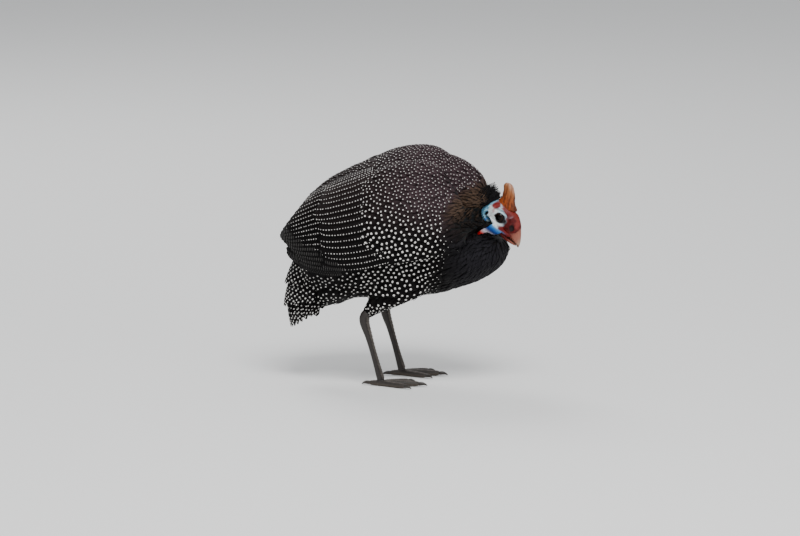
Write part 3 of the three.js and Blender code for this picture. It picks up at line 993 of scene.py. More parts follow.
@dataclass
class Marks:
    """Where the white marks lie: which vane, how far along and across it, and their half sizes."""

    rows: list[Array] = field(default_factory=list)

    def add(self, index: Array, along: Array, across: Array, length: Array, width: Array) -> None:
        """Adds marks; single numbers are used for all of them."""
        self.rows.append(np.stack(np.broadcast_arrays(index, along, across, length, width)).astype(float))

    def build(self, name: str, spines: Spines, cut: VaneCut, seed: int, light: float = 1.0) -> Piece:
        """The marks as thin closed lenses that follow their vanes.

        Args:
            name: The piece's name.
            spines: The vanes' shafts.
            cut: The vanes' cut.
            seed: For the marks' small differences.
            light: How pale they are, against the whitest.

        Returns:
            The piece, tinted and mapped.
        """
        index, along, across, length, width = np.concatenate(self.rows, 1)
        index = index.astype(int)
        draw = np.random.default_rng(seed)
        corners, above, crest, below = 8, 0.02, 0.26, 0.3
        turn = np.linspace(0, TURN, corners, endpoint=False)[None] + draw.uniform(0, 1, (len(index), 1))
        wobble = 1 + draw.uniform(-0.12, 0.12, turn.shape)
        v = along[:, None] + np.cos(turn) * wobble * (length / spines.lengths[index])[:, None]
        half = spines.widths[index] * cut.outline.half(along)
        u = across[:, None] + np.sin(turn) * wobble * (width / half)[:, None]
        which = np.repeat(index[:, None], corners, 1)
        rim = cut.top(spines, which, np.clip(v, 0, 1), np.clip(u, -0.97, 0.97))
        normal = spines.read(spines.normals, index, along)
        centre = cut.top(spines, index, along, across)
        top, bottom = centre + normal * crest, centre - normal * below
        points = np.concatenate([rim + normal[:, None] * above, top[:, None], bottom[:, None]], 1)
        ring = np.arange(corners)
        after = (ring + 1) % corners
        upper = np.stack([ring, after, np.full(corners, corners)], -1)
        lower = np.stack([after, ring, np.full(corners, corners + 1)], -1)
        per = corners + 2
        piece = Shell.repeated(points, [np.vstack([upper, lower])]).piece(name)
        spread = np.zeros((per, 2))
        spread[:corners] = np.stack([np.cos(turn[0]), np.sin(turn[0])], -1) * 0.5
        patch = spines.roots[index][:, None, :] + spread[None] * PATCH
        map_uv(piece, "OFBake", patch.reshape(-1, 2))
        shade = 1 + draw.uniform(-0.08, 0.03, (len(index), 1, 1))
        shade = shade * np.clip(0.52 + 0.32 * width, 0, 1)[:, None, None]
        colours = np.array(Paint.MARK) * light * shade * np.ones((1, per, 1))
        tint(piece, colours.reshape(-1, 3))
        return piece


# The body's sizes


@dataclass(frozen=True)
class Anatomy:
    """The forms that the coat grows from and the places they share."""

    torso: SlicedForm = SlicedForm(
        (
            (139, 171, 171, 0), (129, 189, 148, 34), (105, 199, 130, 53), (80, 236, 120, 71),
            (50, 294, 112, 80), (2, 297, 106, 81), (-51, 271, 103, 75), (-95, 242, 106, 58),
            (-123, 212, 123, 33), (-133, 180, 180, 0),
        ),
        0.47,
    )
    wrap: SlicedForm = SlicedForm(
        (
            (142, 172, 172, 0), (132, 200, 147, 42), (102, 239, 127, 67), (56, 296, 112, 81),
            (0, 299, 104, 83), (-56, 273, 104, 77), (-104, 244, 117, 58), (-138, 212, 141, 36),
            (-156, 178, 178, 0),
        ),
        0.47,
    )
    neck: Limb = Limb(
        ((44, 0, 226), (64, 0, 228), (82, -3, 226.5), (96, -10, 222), (107, -17, 215.5)),
        (67, 62, 50, 32, 21), (62, 58, 42, 24, 15),
    )
    tail_core: Limb = Limb(
        ((-92, 0, 172), (-108, 0, 152), (-116, 0, 128), (-124, 0, 104)),
        (22, 17, 11, 5), (24, 20, 15, 8),
    )
    throat: Limb = Limb(((96, -9, 219), (110, -17, 213.5), (121, -20, 209)), (27, 20, 13), (24, 17, 10.5))
    vent: Limb = Limb(
        ((-58, 0, 128), (-84, 0, 119), (-106, 0, 111), (-121, 0, 104)),
        (20, 19, 15, 8), (50, 40, 27, 15),
    )
    thigh_radii: tuple[float, ...] = (40, 30, 19, 9.6, 7.2)
    coat_depth: float = 5.0
    hip_y: float = 40.0
    knee: Pair = (14, 150)
    hock: Pair = (-34, 86)
    toe_root: Pair = (-12, 7.4)
    stagger: float = 9.0

    def foot_x(self, side: Side) -> float:
        """X of a foot's middle: the left one is a little ahead."""
        return self.toe_root[0] + self.stagger * side.value

    def hock_x(self, side: Side) -> float:
        """X of a hock."""
        return self.hock[0] + self.stagger * side.value

    def thigh(self, side: Side) -> Limb:
        """The feathered thigh, from inside the body to the hock.

        Args:
            side: The bird's side.

        Returns:
            The limb.
        """
        y = side.value * self.hip_y
        line = []
        for share_x, share_z in ((0, 0), (0.3, 0.32), (0.58, 0.6), (0.85, 0.86), (1, 0.97)):
            x = between(self.knee[0], self.hock_x(side), share_x)
            line.append((x, y, between(self.knee[1], self.hock[1], share_z)))
        return Limb(tuple(line), self.thigh_radii, tuple(r * 0.72 for r in self.thigh_radii))


ANATOMY = Anatomy()


@dataclass(frozen=True)
class HeadFrame:
    """The head's own frame: X along the bill, Z to the crown, origin between the eyes."""

    place: Triple = (131, -20, 214.5)
    pitch: float = 38.0
    yaw: float = 22.0

    def matrix(self) -> Array:
        """Its three axes as columns, in the bird's frame.

        Returns:
            Three rows of three.
        """
        pitch, yaw = math.radians(self.pitch), math.radians(-self.yaw)
        down = [[math.cos(pitch), 0, math.sin(pitch)], [0, 1, 0], [-math.sin(pitch), 0, math.cos(pitch)]]
        turn = [[math.cos(yaw), -math.sin(yaw), 0], [math.sin(yaw), math.cos(yaw), 0], [0, 0, 1]]
        return np.array(turn) @ np.array(down)

    def out(self, points: Array) -> Array:
        """Points of the head in the bird's frame."""
        return points @ self.matrix().T + np.array(self.place)

    def into(self, points: Array) -> Array:
        """Points of the bird in the head's frame."""
        return (points - np.array(self.place)) @ self.matrix()

    def shell(self, shell: Shell) -> Shell:
        """A shell of the head in the bird's frame."""
        return Shell(self.out(shell.points), shell.faces)


HEAD = HeadFrame()


def cloud(points: Array, size: float, seed: int) -> Array:
    """Smooth noise from crossing waves.

    Args:
        points: Where to read it.
        size: About how large its lumps are.
        seed: Which noise.

    Returns:
        A number for each point, mostly from -1 to 1.
    """
    draw = np.random.default_rng(seed)
    total, waves = np.zeros(len(points)), 7
    for _ in range(waves):
        way = draw.normal(size=3)
        way *= TURN / (size * draw.uniform(1.2, 3.0)) / np.linalg.norm(way)
        total += np.sin(points @ way + draw.uniform(0, TURN))
    return total / (waves / 2)


@dataclass(frozen=True)
class Wash:
    """A soft patch of colour on the head, seen from its side."""

    centre: Pair
    radii: Pair
    turn: float
    colour: Triple
    strength: float = 1.0
    soft: float = 0.25

    def mask(self, x: Array, z: Array) -> Array:
        """How strongly the patch covers these places.

        Args:
            x: Places along the bill's axis.
            z: Heights in the head's frame.

        Returns:
            From 0, outside, to the patch's strength.
        """
        angle = math.radians(self.turn)
        dx, dz = x - self.centre[0], z - self.centre[1]
        along = (dx * math.cos(angle) + dz * math.sin(angle)) / self.radii[0]
        across = (dz * math.cos(angle) - dx * math.sin(angle)) / self.radii[1]
        return self.strength * (1 - smoothstep(1 - self.soft, 1 + self.soft, np.hypot(along, across)))


# The pieces


@dataclass
class Head:
    """The bare head: skin with its folds, lids and wattles, and the eyes, casque and bill."""

    skull: SlicedForm = SlicedForm(
        (
            (21, 5, 5, 0), (18.5, 11.5, -10, 6.2), (12, 14.2, -15.6, 9.6), (2, 15.2, -17.2, 12.6),
            (-8, 15.4, -15.8, 13.8), (-17, 12, -12.4, 12.2), (-22.5, 7, -7.5, 8.2), (-24.5, 0, 0, 0),
        )
    )
    bare_neck: Limb = Limb(((-6, 0, 0), (-14, 0, -6), (-22, 0, -15)), (14, 13.6, 12), (12.8, 12.6, 11.4))
    cere: SlicedForm = SlicedForm(
        (
            (29, -1, -1, 0), (27.5, 3.4, -8, 5.4), (23, 8.4, -11.4, 7.8), (17, 12.6, -12.4, 9.2),
            (11, 13.6, -13, 9.6), (8, 0, 0, 0),
        ),
        0.45,
    )
    upper_bill: SlicedForm = SlicedForm(
        (
            (12, -4, -4, 0), (14, 9.5, -13.4, 7.6), (19, 10.8, -14.6, 8), (25, 6, -15, 7),
            (30.5, 0.4, -15.4, 5.6), (35.5, -6.4, -16.2, 3.8), (38.6, -12, -17.6, 1.9),
            (39.8, -17.2, -17.2, 0),
        ),
        0.35,
    )
    lower_bill: SlicedForm = SlicedForm(
        (
            (6, -15, -15, 0), (8, -13.6, -19.4, 6.6), (15, -14.4, -21.2, 6.8), (23, -15.4, -21.2, 5.6),
            (30, -15.8, -20, 4), (34.4, -16.6, -18.6, 2), (36, -17.6, -17.6, 0),
        ),
        0.7,
    )
    casque: Limb = Limb(
        ((-3.2, 0, 9), (-5.5, 0, 13.5), (-8.5, 0, 21.5), (-13, 0, 29), (-18, 0, 34.5), (-20.5, 0, 37.5)),
        (17, 13.5, 9.6, 8, 6.8, 4.4), (8, 7.2, 5.6, 4.6, 3.9, 2.8),
        axis=(-0.45, 0, 0.89),
    )
    eye: Triple = (0, 8.1, 0.4)
    eye_radius: float = 7.2
    lid_radius: float = 6.3
    nostril: Triple = (20.5, 8.0, -1.0)
    ear: Triple = (-16.6, 11.4, -7.6)
    washes_under: int = 6
    washes: tuple[Wash, ...] = (
        Wash((-4.5, -1.0), (14.5, 9.5), -20, (0.64, 0.69, 0.70), 1.0, 0.12),
        Wash((-1.0, 7.6), (9.5, 4.2), -22, (0.50, 0.68, 0.76), 0.9, 0.3),
        Wash((-13.0, 8.4), (5.6, 4.2), 24, (0.150, 0.0050, 0.0035), 1.0, 0.35),
        Wash((-11.6, 3.4), (1.8, 4.6), 16, (0.36, 0.07, 0.07), 0.6, 0.6),
        Wash((-10.0, -11.6), (6.4, 2.5), -12, (0.006, 0.035, 0.050), 1.0, 0.45),
        Wash((2.0, 14.0), (13.0, 4.6), -12, (0.17, 0.010, 0.003), 0.95, 0.35),
        Wash((9.0, 7.0), (2.6, 7.0), 24, (0.12, 0.004, 0.003), 0.9, 0.5),
        Wash((1.2, 0.4), (7.6, 6.5), 0, (0.006, 0.006, 0.007), 1.0, 0.08),
        Wash((6.5, -0.5), (4.6, 3.8), -10, (0.010, 0.006, 0.007), 0.9, 0.4),
        Wash((17.0, 13.0), (4.4, 2.6), -30, (0.26, 0.06, 0.05), 0.7, 0.6),
        # A pink patch on the cere above the nostril: a painted highlight.
        Wash((22.5, 6.0), (4.6, 2.4), -50, (0.24, 0.035, 0.03), 0.7, 0.6),
        Wash((15.0, -10.0), (9.5, 3.0), -12, (0.12, 0.004, 0.004), 0.95, 0.3),
    )
    ground: Ground | None = None

    def wattle(self, side: Side) -> Limb:
        """A wattle: a blue bulb at the corner of the mouth, a waist and its thin red tip.

        Args:
            side: The bird's side.

        Returns:
            The limb.
        """
        root, bulb = (11, 8.4, -8), ((8, 11, -11.5), (3.5, 14, -16.5))
        flap = ((-1.5, 17.5, -21.5), (-4.5, 20, -27), (-7, 22, -32.5))
        return Limb(
            side.of((root, *bulb, *flap)),
            (4.0, 6.6, 7.0, 3.2, 2.6, 1.4), (1.8, 3.0, 3.0, 1.9, 1.8, 1.1),
        )

    def lids(self, side: Side) -> Shell:
        """The ring of bare skin round an eye, thicker above it.

        Args:
            side: The bird's side.

        Returns:
            The closed ring.
        """
        turns, tubes = 56, 14
        ring = np.linspace(0, TURN, turns, endpoint=False)[:, None] * np.ones((1, tubes))
        tube = np.linspace(0, TURN, tubes, endpoint=False)[None] * np.ones((turns, 1))
        x, y, z = self.eye
        brow = 0.5 + 0.5 * np.cos(ring - 0.5)
        thick = 1.0 + 0.55 * brow
        radius = self.lid_radius + 0.5 + thick * np.cos(tube)
        depth = y + math.sqrt(self.eye_radius**2 - self.lid_radius**2) - 0.2 + thick * np.sin(tube)
        narrow = 0.93
        points = np.stack(
            [x + radius * np.sin(ring), side.value * depth, z + narrow * radius * np.cos(ring)], -1
        ).reshape(-1, 3)
        row, column = np.meshgrid(np.arange(turns), np.arange(tubes), indexing="ij")
        here, there = row * tubes, ((row + 1) % turns) * tubes
        after = (column + 1) % tubes
        faces = np.stack([here + column, there + column, there + after, here + after], -1).reshape(-1, 4)
        shell = Shell(points, [faces])
        return shell if shell.volume() > 0 else shell.flipped()

    def folds(self, side: Side) -> list[Shell]:
        """Soft folds along the gape, under the eye, over it, down the nape and behind the bill.

        Args:
            side: Which side of the head.

        Returns:
            Closed shells that lie partly in the skin.
        """
        folds = (
            (
                ((6, 8.8, -9), (13, 9, -11.5), (21, 7.6, -11.5), (26, 6, -9.5)),
                (1.4, 2.3, 2.1, 1.0), (1.1, 1.6, 1.4, 0.9),
            ),
            (
                ((-10, 12.6, -8), (-3, 12.4, -9.6), (4, 11.4, -8.4), (10, 9.6, -4)),
                (0.8, 1.6, 1.5, 0.8), (0.8, 1.3, 1.2, 0.8),
            ),
            (
                ((-12, 12.4, 5), (-5, 12.2, 10.2), (4, 10.6, 10.6), (11, 9.2, 6)),
                (0.9, 1.7, 1.6, 0.9), (0.8, 1.4, 1.3, 0.8),
            ),
            (
                ((-19, 11.0, 4), (-21, 11.4, -3), (-18.5, 11.8, -11), (-11, 11.4, -16.5)),
                (0.9, 1.5, 1.5, 0.9), (0.8, 1.1, 1.1, 0.8),
            ),
            (
                ((11, 8.8, 9), (15, 8.6, 4), (16, 8.8, -2), (13, 9.2, -7)),
                (1.0, 1.8, 1.8, 1.0), (0.8, 1.1, 1.2, 0.8),
            ),
        )
        return [Limb(side.of(line), depth, width).shell(18, 14) for line, depth, width in folds]

    def skin_shell(self) -> Shell:
        """Every fleshy form of the head as overlapping closed shells.

        Returns:
            One shell, in the head's frame.
        """
        shells = [self.skull.shell(40, 48), self.cere.shell(24, 32), self.bare_neck.shell(24, 36)]
        for side in Side:
            shells += [self.lids(side), self.wattle(side).shell(34, 24), *self.folds(side)]
        return Shell.joined(shells)

    def skin(self) -> Piece:
        """The head's skin: fused, with its sockets, ear cups, nostrils and wrinkles.

        Returns:
            The piece, tinted.
        """
        piece = HEAD.shell(self.skin_shell()).piece("head_skin")
        fused(piece, 0.42, 2, 0.4)
        points = HEAD.into(points_of(piece))
        normals = normals_of(piece) @ HEAD.matrix()
        points = points + normals * (self.wrinkles(points) - self.sunken(points))[:, None]
        move_points(piece, HEAD.out(points))
        tint(piece, self.colours(points))
        self.ground = Ground.of(piece, HEAD.out(points))
        return piece

    def clear_of(self, points: Array, margin: float) -> Array:
        """Which places are at least so far outside the head's skin."""
        places, normals, distances = self.ground.nearest(points)
        return (distances > margin) & (((points - places) * normals).sum(-1) > 0)

    def at_ear(self, x: Array, z: Array) -> Array:
        """How far places are from the ear's slit, which is 1 at its edge."""
        return np.hypot((x - self.ear[0] - 0.15 * (z - self.ear[2])) / 2.0, (z - self.ear[2]) / 3.6)

    def at_nostril(self, x: Array, z: Array) -> Array:
        """How far places are from the nostril, which is 1 at its edge."""
        dx, dz = x - self.nostril[0], z - self.nostril[2]
        return np.hypot((dx * 0.9 + dz * 0.43) / 3.3, (dz * 0.9 - dx * 0.43) / 4.4)

    def sunken(self, points: Array) -> Array:
        """How far the ear cups and nostrils press the skin in.

        Args:
            points: Places in the head's frame.

        Returns:
            How far each place goes in.
        """
        x, y, z = points.T
        ear, hole = self.at_ear(x, z), self.at_nostril(x, z)
        off_middle = (np.abs(y) > 3).astype(float)
        cup, pit = 1 - smoothstep(0.4, 1.1, ear), 1 - smoothstep(0.3, 1.1, hole)
        lips = np.exp(-(((ear - 1.35) / 0.25) ** 2)) + np.exp(-(((hole - 1.25) / 0.2) ** 2)) * off_middle
        return 2.6 * cup + 1.3 * pit * off_middle - 0.5 * lips

    def wrinkles(self, points: Array) -> Array:
        """Fine ridges: rings round the eye, folds down the nape and papillae on the cere.

        Args:
            points: Places in the head's frame.

        Returns:
            How far each place stands out.
        """
        x, y, z = points.T
        ring = np.hypot(x - self.eye[0], z - self.eye[2])
        wave = 0.7 * cloud(points, 6, 3)
        near_eye = smoothstep(8.2, 9.5, ring) * (1 - smoothstep(12, 16, ring))
        rings = np.sin(ring * TURN / 1.9 + 2 * wave) * near_eye
        behind = smoothstep(-12, -17, x + 0.25 * z)
        nape = np.sin((0.9 * x - 0.45 * z) * TURN / 2.7 + 1.6 * wave) * behind
        red = smoothstep(9, 13, x + 0.2 * z)
        warts = np.abs(np.sin(x * 2.1 + wave) * np.sin(z * 2.2 - wave) * np.sin(y * 1.6 + 1.1)) * red
        wattle = np.sin((x * 0.9 + z * 0.5) * TURN / 3.4 + wave) * smoothstep(-14, -18, z) * 0.6
        return 0.13 * rings + 0.30 * nape + 0.42 * warts + 0.14 * wattle + 0.10 * cloud(points, 2.2, 8)

    def colours(self, points: Array) -> Array:
        """The bare skin's colours in the head's frame.

        Args:
            points: Places in the head's frame.

        Returns:
            A colour for each place.
        """
        side_x, y, side_z = points[:, 0], np.abs(points[:, 1]), points[:, 2]
        x, z = side_x + 0.8 * cloud(points, 4.5, 21), side_z + 0.8 * cloud(points, 4.5, 22)
        # Stripes in step with the nape's wrinkles: painted light on their crests and painted shade in the
        # grooves.
        line = 0.5 + 0.5 * np.sin((0.9 * x - 0.45 * z) * TURN / 2.7 + 1.1 * cloud(points, 6, 3))
        pale = smoothstep(-26, -17, x + 0.2 * z)
        patch = 0.5 + 0.5 * cloud(points, 3.2, 25)
        face = smoothstep(8.5, 12, x - 0.1 * z)
        crown = smoothstep(7.5, 4.0, y) * smoothstep(9, 13, side_z) * smoothstep(-22, -14, side_x)
        # Near black in the ear's opening: painted shade in the hole.
        black = 1 - smoothstep(0.8, 1.1, self.at_ear(side_x, side_z))
        # Near black in the nostril: painted shade in the hole.
        hole = (1 - smoothstep(0.8, 1.15, self.at_nostril(side_x, side_z))) * (y > 3)
        outside = smoothstep(1.5, 3.5, y - 0.35 * (-side_z - 8) - 6.0)
        hanging = smoothstep(-11.0, -13.0, side_z) * outside * smoothstep(-16, -13, side_x)
        wattle = spline(Paint.WATTLE, np.clip((-side_z - 10) / 22.5, 0, 1))
        washes = [(wash.colour, wash.mask(x, z)) for wash in self.washes]
        return painted(
            len(points),
            Paint.NAPE,
            (Paint.NAPE_FOLD, 0.25 + 0.35 * line + 0.4 * pale),
            (Paint.CHEEK, 0.6 * smoothstep(-18, -12, x)),
            *washes[: self.washes_under],
            (Paint.FACE, face),
            (Paint.FACE_DEEP, 0.7 * face * patch),
            *washes[self.washes_under :],
            (Paint.CROWN, 0.9 * crown),
            (Paint.EAR, black),
            (Paint.NOSTRIL, hole),
            (wattle, hanging),
        )

    def build_eyes(self) -> None:
        """Two eyeballs of dark brown with black pupils."""
        for side in Side:
            bpy.ops.object.select_all(action="DESELECT")
            bpy.ops.mesh.primitive_uv_sphere_add(segments=48, ring_count=32, radius=self.eye_radius)
            ball = bpy.context.object
            ball.name = f"{side.word}_eyeball"
            local = vertex_rows(ball, "co")
            outwards = local[:, 1] * side.value / self.eye_radius
            iris = (Paint.IRIS, smoothstep(0.62, 0.68, outwards))
            pupil = (Paint.PUPIL, smoothstep(0.84, 0.88, outwards))
            move_points(ball, HEAD.out(local + np.array(side.of((self.eye,))[0])))
            tint(ball, painted(len(local), Paint.EYE_RIM, iris, pupil))
            dress(ball, Finishes.EYE, "eye", (f"{side.word}_eye",))

    def build_casque(self) -> None:
        """The horn on the crown: rough, grooved lengthways and paler at its tip."""
        piece = HEAD.shell(self.casque.shell(120, 96)).piece("casque_horn")
        points, normals = HEAD.into(points_of(piece)), normals_of(piece) @ HEAD.matrix()
        x, y, z = points.T
        axis = x + 0.5 * (z - 12)
        streaks = cloud(np.stack([axis * 2.4, y * 2.4, z * 0.42], -1), 7, 31)
        pits = cloud(np.stack([axis * 1.6, y * 1.6, z], -1), 2.6, 33)
        rough = 1 - 0.7 * smoothstep(27, 36, z)
        move_points(piece, HEAD.out(points + normals * ((0.38 * streaks + 0.20 * pits) * rough)[:, None]))
        height = smoothstep(16, 36, z + 2 * streaks)
        # Darker where the relief presses the horn in: painted shade in the grooves and pits.
        groove = smoothstep(0.0, -0.55, streaks + 0.5 * pits) * (1 - 0.6 * height)
        front = smoothstep(6.0, 9.5, axis * (1 + 0.028 * (z - 12))) * (1 - 0.4 * height)
        colours = painted(
            len(points),
            Paint.CASQUE,
            (Paint.CASQUE_PALE, height),
            (Paint.CASQUE_TIP, smoothstep(29, 37, z + 0.2 * x + streaks)),
            (Paint.CASQUE_GROOVE, 0.8 * groove),
            (Paint.CASQUE_FRONT, 0.75 * front),
            (Paint.CASQUE_ROOT, 0.8 * smoothstep(15, 10, z - 0.15 * x)),
        )
        tint(piece, colours)
        dress(piece, Finishes.CASQUE, "casque", ("casque",))

    def build_bill(self) -> None:
        """Upper and lower bill, reddish horn that pales to the tip."""
        forms = (("upper_bill", self.upper_bill, -12.5, -15.5), ("lower_bill", self.lower_bill, -17, -15))
        for name, form, inner, outer in forms:
            piece = HEAD.shell(form.shell(64, 48)).piece(f"{name}_horn")
            points = HEAD.into(points_of(piece))
            x, _, z = points.T
            colours = painted(
                len(points),
                Paint.BILL,
                (Paint.BILL_PALE, smoothstep(20, 33, x + 0.8 * cloud(points, 5, 41))),
                (Paint.BILL_TIP, smoothstep(33, 40, x)),
                # Darker along the mouth line, where the bills meet: painted shade in the gap.
                (Paint.BILL_EDGE, 0.8 * smoothstep(inner, outer, z)),
                # Near black at the nostril: painted shade in the hole.
                (Paint.NOSTRIL, 1 - smoothstep(1.2, 1.6, self.at_nostril(x, z))),
            )
            tint(piece, colours)
            dress(piece, Finishes.BILL, "bill", (name,))


class LayOf(Enum):
    """Which way the feathers lie on each tract."""

    BODY = "body"
    NECK = "neck"
    THIGH = "thigh"
    VENT = "vent"

    def way(self, points: Array) -> Array:
        """The direction in which feathers rooted here point.

        Args:
            points: Places on the bird.

        Returns:
            A direction for each place.
        """
        if self is LayOf.BODY:
            turn = smoothstep(-40, -110, points[:, 0])[:, None]
            return np.array((-1.0, 0.0, -0.30)) * (1 - turn) + np.array((-0.8, 0.0, -0.75)) * turn
        if self is LayOf.THIGH:
            return np.broadcast_to(np.array([-0.6, 0.0, -1.0]), points.shape)
        if self is LayOf.VENT:
            return np.broadcast_to(np.array([-0.75, 0.0, -0.65]), points.shape)
        away = points - np.array([132.0, -20.0, 228.0])
        return unit(away) + np.array([-0.35, 0.0, -0.1])


@dataclass
class Hull:
    """The body's skin under the coat, and the surface that feathers are laid on."""

    anatomy: Anatomy = ANATOMY
    voxel: float = 2.6
    rounds: int = 20
    follow: float = 0.6
    ground: Ground | None = None
    points: Array | None = None

    def pad(self, front: float, back: float, middle: float, half: float, lifts: Pair) -> Shell:
        """A soft pad on the surface that the wings wrap.

        Args:
            front: X of its front end.
            back: X of its back end.
            middle: The angle of its middle, in degrees from the ridge.
            half: Half its spread, in degrees.
            lifts: Its inner and outer lifts off the surface.

        Returns:
            The closed pad.
        """
        inner, outer = lifts
        wrap = self.anatomy.wrap

        def place(ring: Array, angle: Array) -> Array:
            """Points of the pad."""
            share = (1 - np.cos(math.pi * ring)) / 2
            end = np.sin(math.pi * ring) ** 0.6
            thin = 1 - 0.75 * smoothstep(0.55, 1.0, share) - 0.5 * smoothstep(0.3, 0.0, share)
            lift = (inner + outer) / 2 + (outer - inner) / 2 * np.cos(angle) * end * thin
            x = front + (back - front) * share
            around = np.radians(middle + half * end * np.sin(angle))
            return wrap.lifted(wrap.share_at(x), around, lift)

        return Shell.wrapped(place, 48, 48)

    def build(self) -> Piece:
        """The body's skin, from the breast to the rump and down the thighs.

        Returns:
            The piece, tinted.
        """
        anatomy, depth = self.anatomy, self.anatomy.coat_depth
        shells = [
            anatomy.torso.shell(60, 72, -depth),
            anatomy.neck.shell(40, 48, 1 - depth),
            anatomy.throat.shell(24, 36),
            anatomy.vent.shell(24, 36),
            anatomy.tail_core.shell(30, 32, -2),
            self.pad(88, -118, 0, 52, (-12, -3.4)),
            self.pad(-20, -151, 0, 46, (-26, -1.5)),
        ]
        for side in Side:
            shells.append(anatomy.thigh(side).shell(40, 32, -2))
            shells.append(self.pad(94, -86, side.value * 72, 40, (-9, 4.6)))
        piece = Shell.joined(shells).piece("body_skin")
        fused(piece, self.voxel, self.rounds)
        points = self.under_face(points_of(piece))
        move_points(piece, points)
        tint(piece, painted(len(points), Paint.COVERED))
        self.ground, self.points = Ground.of(piece, points), points
        return piece

    def under_face(self, points: Array) -> Array:
        """Places of the hull, drawn in where the bare skin behind the cheeks covers them.

        Args:
            points: Places on the hull.

        Returns:
            The same places, drawn in.
        """
        local, half_width = HEAD.into(points), 7.5
        covered = 1 - smoothstep(0.75, 1.2, np.hypot((local[:, 0] + 14) / 15, (local[:, 2] + 8) / 15))
        flat = local.copy()
        flat[:, 1] = np.clip(local[:, 1], -half_width, half_width)
        return HEAD.out(blend(local, flat, covered))

    def snap(self, points: Array) -> tuple[Array, Array]:
        """The nearest places on the hull to these points, and its outward directions there."""
        return self.ground.nearest(points)[:2]

    def scattered(self, seed: int, count: int) -> Array:
        """Many places spread over the hull, in no order."""
        draw = np.random.default_rng(seed)
        near = self.points[draw.integers(0, len(self.points), count)]
        return near + draw.uniform(-0.5, 0.5, near.shape) * self.voxel * 1.6

    def lay(
        self, roots: Array, lay: LayOf, lengths: Array, rise: tuple[Array, Array], steps: int
    ) -> tuple[Array, Array, Array]:
        """Shafts that follow the hull from their roots.

        Args:
            roots: Where they start, near the hull.
            lay: Which way they lie.
            lengths: How long they are.
            rise: Their lifts off the hull at the root and at the tip.
            steps: Points along each.

        Returns:
            Points, normals and sides.
        """
        place, normal = self.snap(roots)
        points, normals, sides = [], [], []
        stride = (lengths / (steps - 1))[:, None]
        for k in range(steps):
            along = k / (steps - 1)
            way = lay.way(place)
            way = unit(way - normal * (way * normal).sum(-1, keepdims=True))
            lift = between(*rise, along**0.8) - 0.6 * smoothstep(0.7, 1, np.array(along))
            points.append(place + normal * lift[:, None])
            normals.append(normal)
            sides.append(np.cross(normal, way))
            if k < steps - 1:
                place, following = self.snap(place + way * stride)
                normal = unit(normal * (1 - self.follow) + following * self.follow)
        return np.stack(points, 1), np.stack(normals, 1), np.stack(sides, 1)


@dataclass(frozen=True)
class Pattern:
    """How the coat varies over the body, read from the photograph."""

    anatomy: Anatomy = ANATOMY

    def around(self, points: Array) -> Array:
        """The angle of places round the wing's surface, in degrees from the back's ridge.

        Args:
            points: Places on the bird.

        Returns:
            From 0 on the ridge to 180 under the belly.
        """
        wrap = self.anatomy.wrap
        _, top, bottom, half = np.moveaxis(spline(wrap.slices, wrap.share_at(points[:, 0])), -1, 0)
        middle = bottom + (top - bottom) * wrap.waist
        high = points[:, 2] - middle
        reach = np.where(high > 0, top - middle, middle - bottom)
        least = 5.0
        across = np.abs(points[:, 1]) / np.maximum(half, least)
        return np.degrees(np.arctan2(across, high / np.maximum(reach, least)))

    def mantle(self, points: Array) -> Array:
        """1 on the upper back, where the dots are finest."""
        x, _, z = points.T
        return smoothstep(-30, 45, x) * smoothstep(205, 262, z + 0.25 * x)

    def breast(self, points: Array) -> Array:
        """1 on the finely barred breast."""
        x, _, z = points.T
        return smoothstep(62, 100, x) * smoothstep(226, 196, z)

    def ruff(self, points: Array) -> Array:
        """1 on the soft brown collar behind the cheeks."""
        x, _, z = points.T
        return 1 - smoothstep(0.7, 1.35, np.hypot((x - 99) / 26, (z - 222) / 26))

    def spacing(self, points: Array) -> Array:
        """The step between feathers.

        Args:
            points: Places on the bird.

        Returns:
            A step for each place.
        """
        x, _, z = points.T
        step = 5.8 - 1.0 * smoothstep(205, 258, z) + 0.35 * smoothstep(150, 125, z)
        low_leg = smoothstep(120, 95, z) * (x > -70)
        masks = (self.mantle(points), self.breast(points), self.ruff(points), low_leg)
        for here, mask in zip((4.1, 3.9, 2.3, 3.6), masks):
            step = between(step, here, mask)
        return step

    def dot(self, points: Array) -> Array:
        """The radius of the white dot on a feather rooted here.

        Args:
            points: Places on the bird.

        Returns:
            A radius for each place.
        """
        x, _, z = points.T
        radius = 1.58 - 0.58 * smoothstep(195, 262, z) - 0.42 * smoothstep(-15, -60, x)
        radius = between(radius, 0.74, self.mantle(points))
        radius = radius * (1 - smoothstep(58, 96, x + 0.25 * (200 - z)) * smoothstep(228, 200, z))
        radius = radius * (1 - smoothstep(0.15, 0.8, self.ruff(points)))
        return radius * (1 - 0.4 * smoothstep(122, 96, z) * (x > -70))

    def ground(self, points: Array) -> Array:
        """The colour of the feathers between the dots.

        Args:
            points: Places on the bird.

        Returns:
            A colour for each place.
        """
        high = points[:, 2]
        down = painted(len(points), Paint.RUFF_LOW, (Paint.RUFF_HIGH, smoothstep(205, 232, high)))
        return painted(
            len(points),
            Paint.COAT,
            # Lighter towards the top of the body: painted light from above.
            (Paint.COAT_HIGH, smoothstep(185, 265, high)),
            # Brown-purple on the upper back: painted sheen.
            (Paint.MANTLE, self.mantle(points)),
            (Paint.BREAST, self.breast(points)),
            (down, self.ruff(points)),
        )


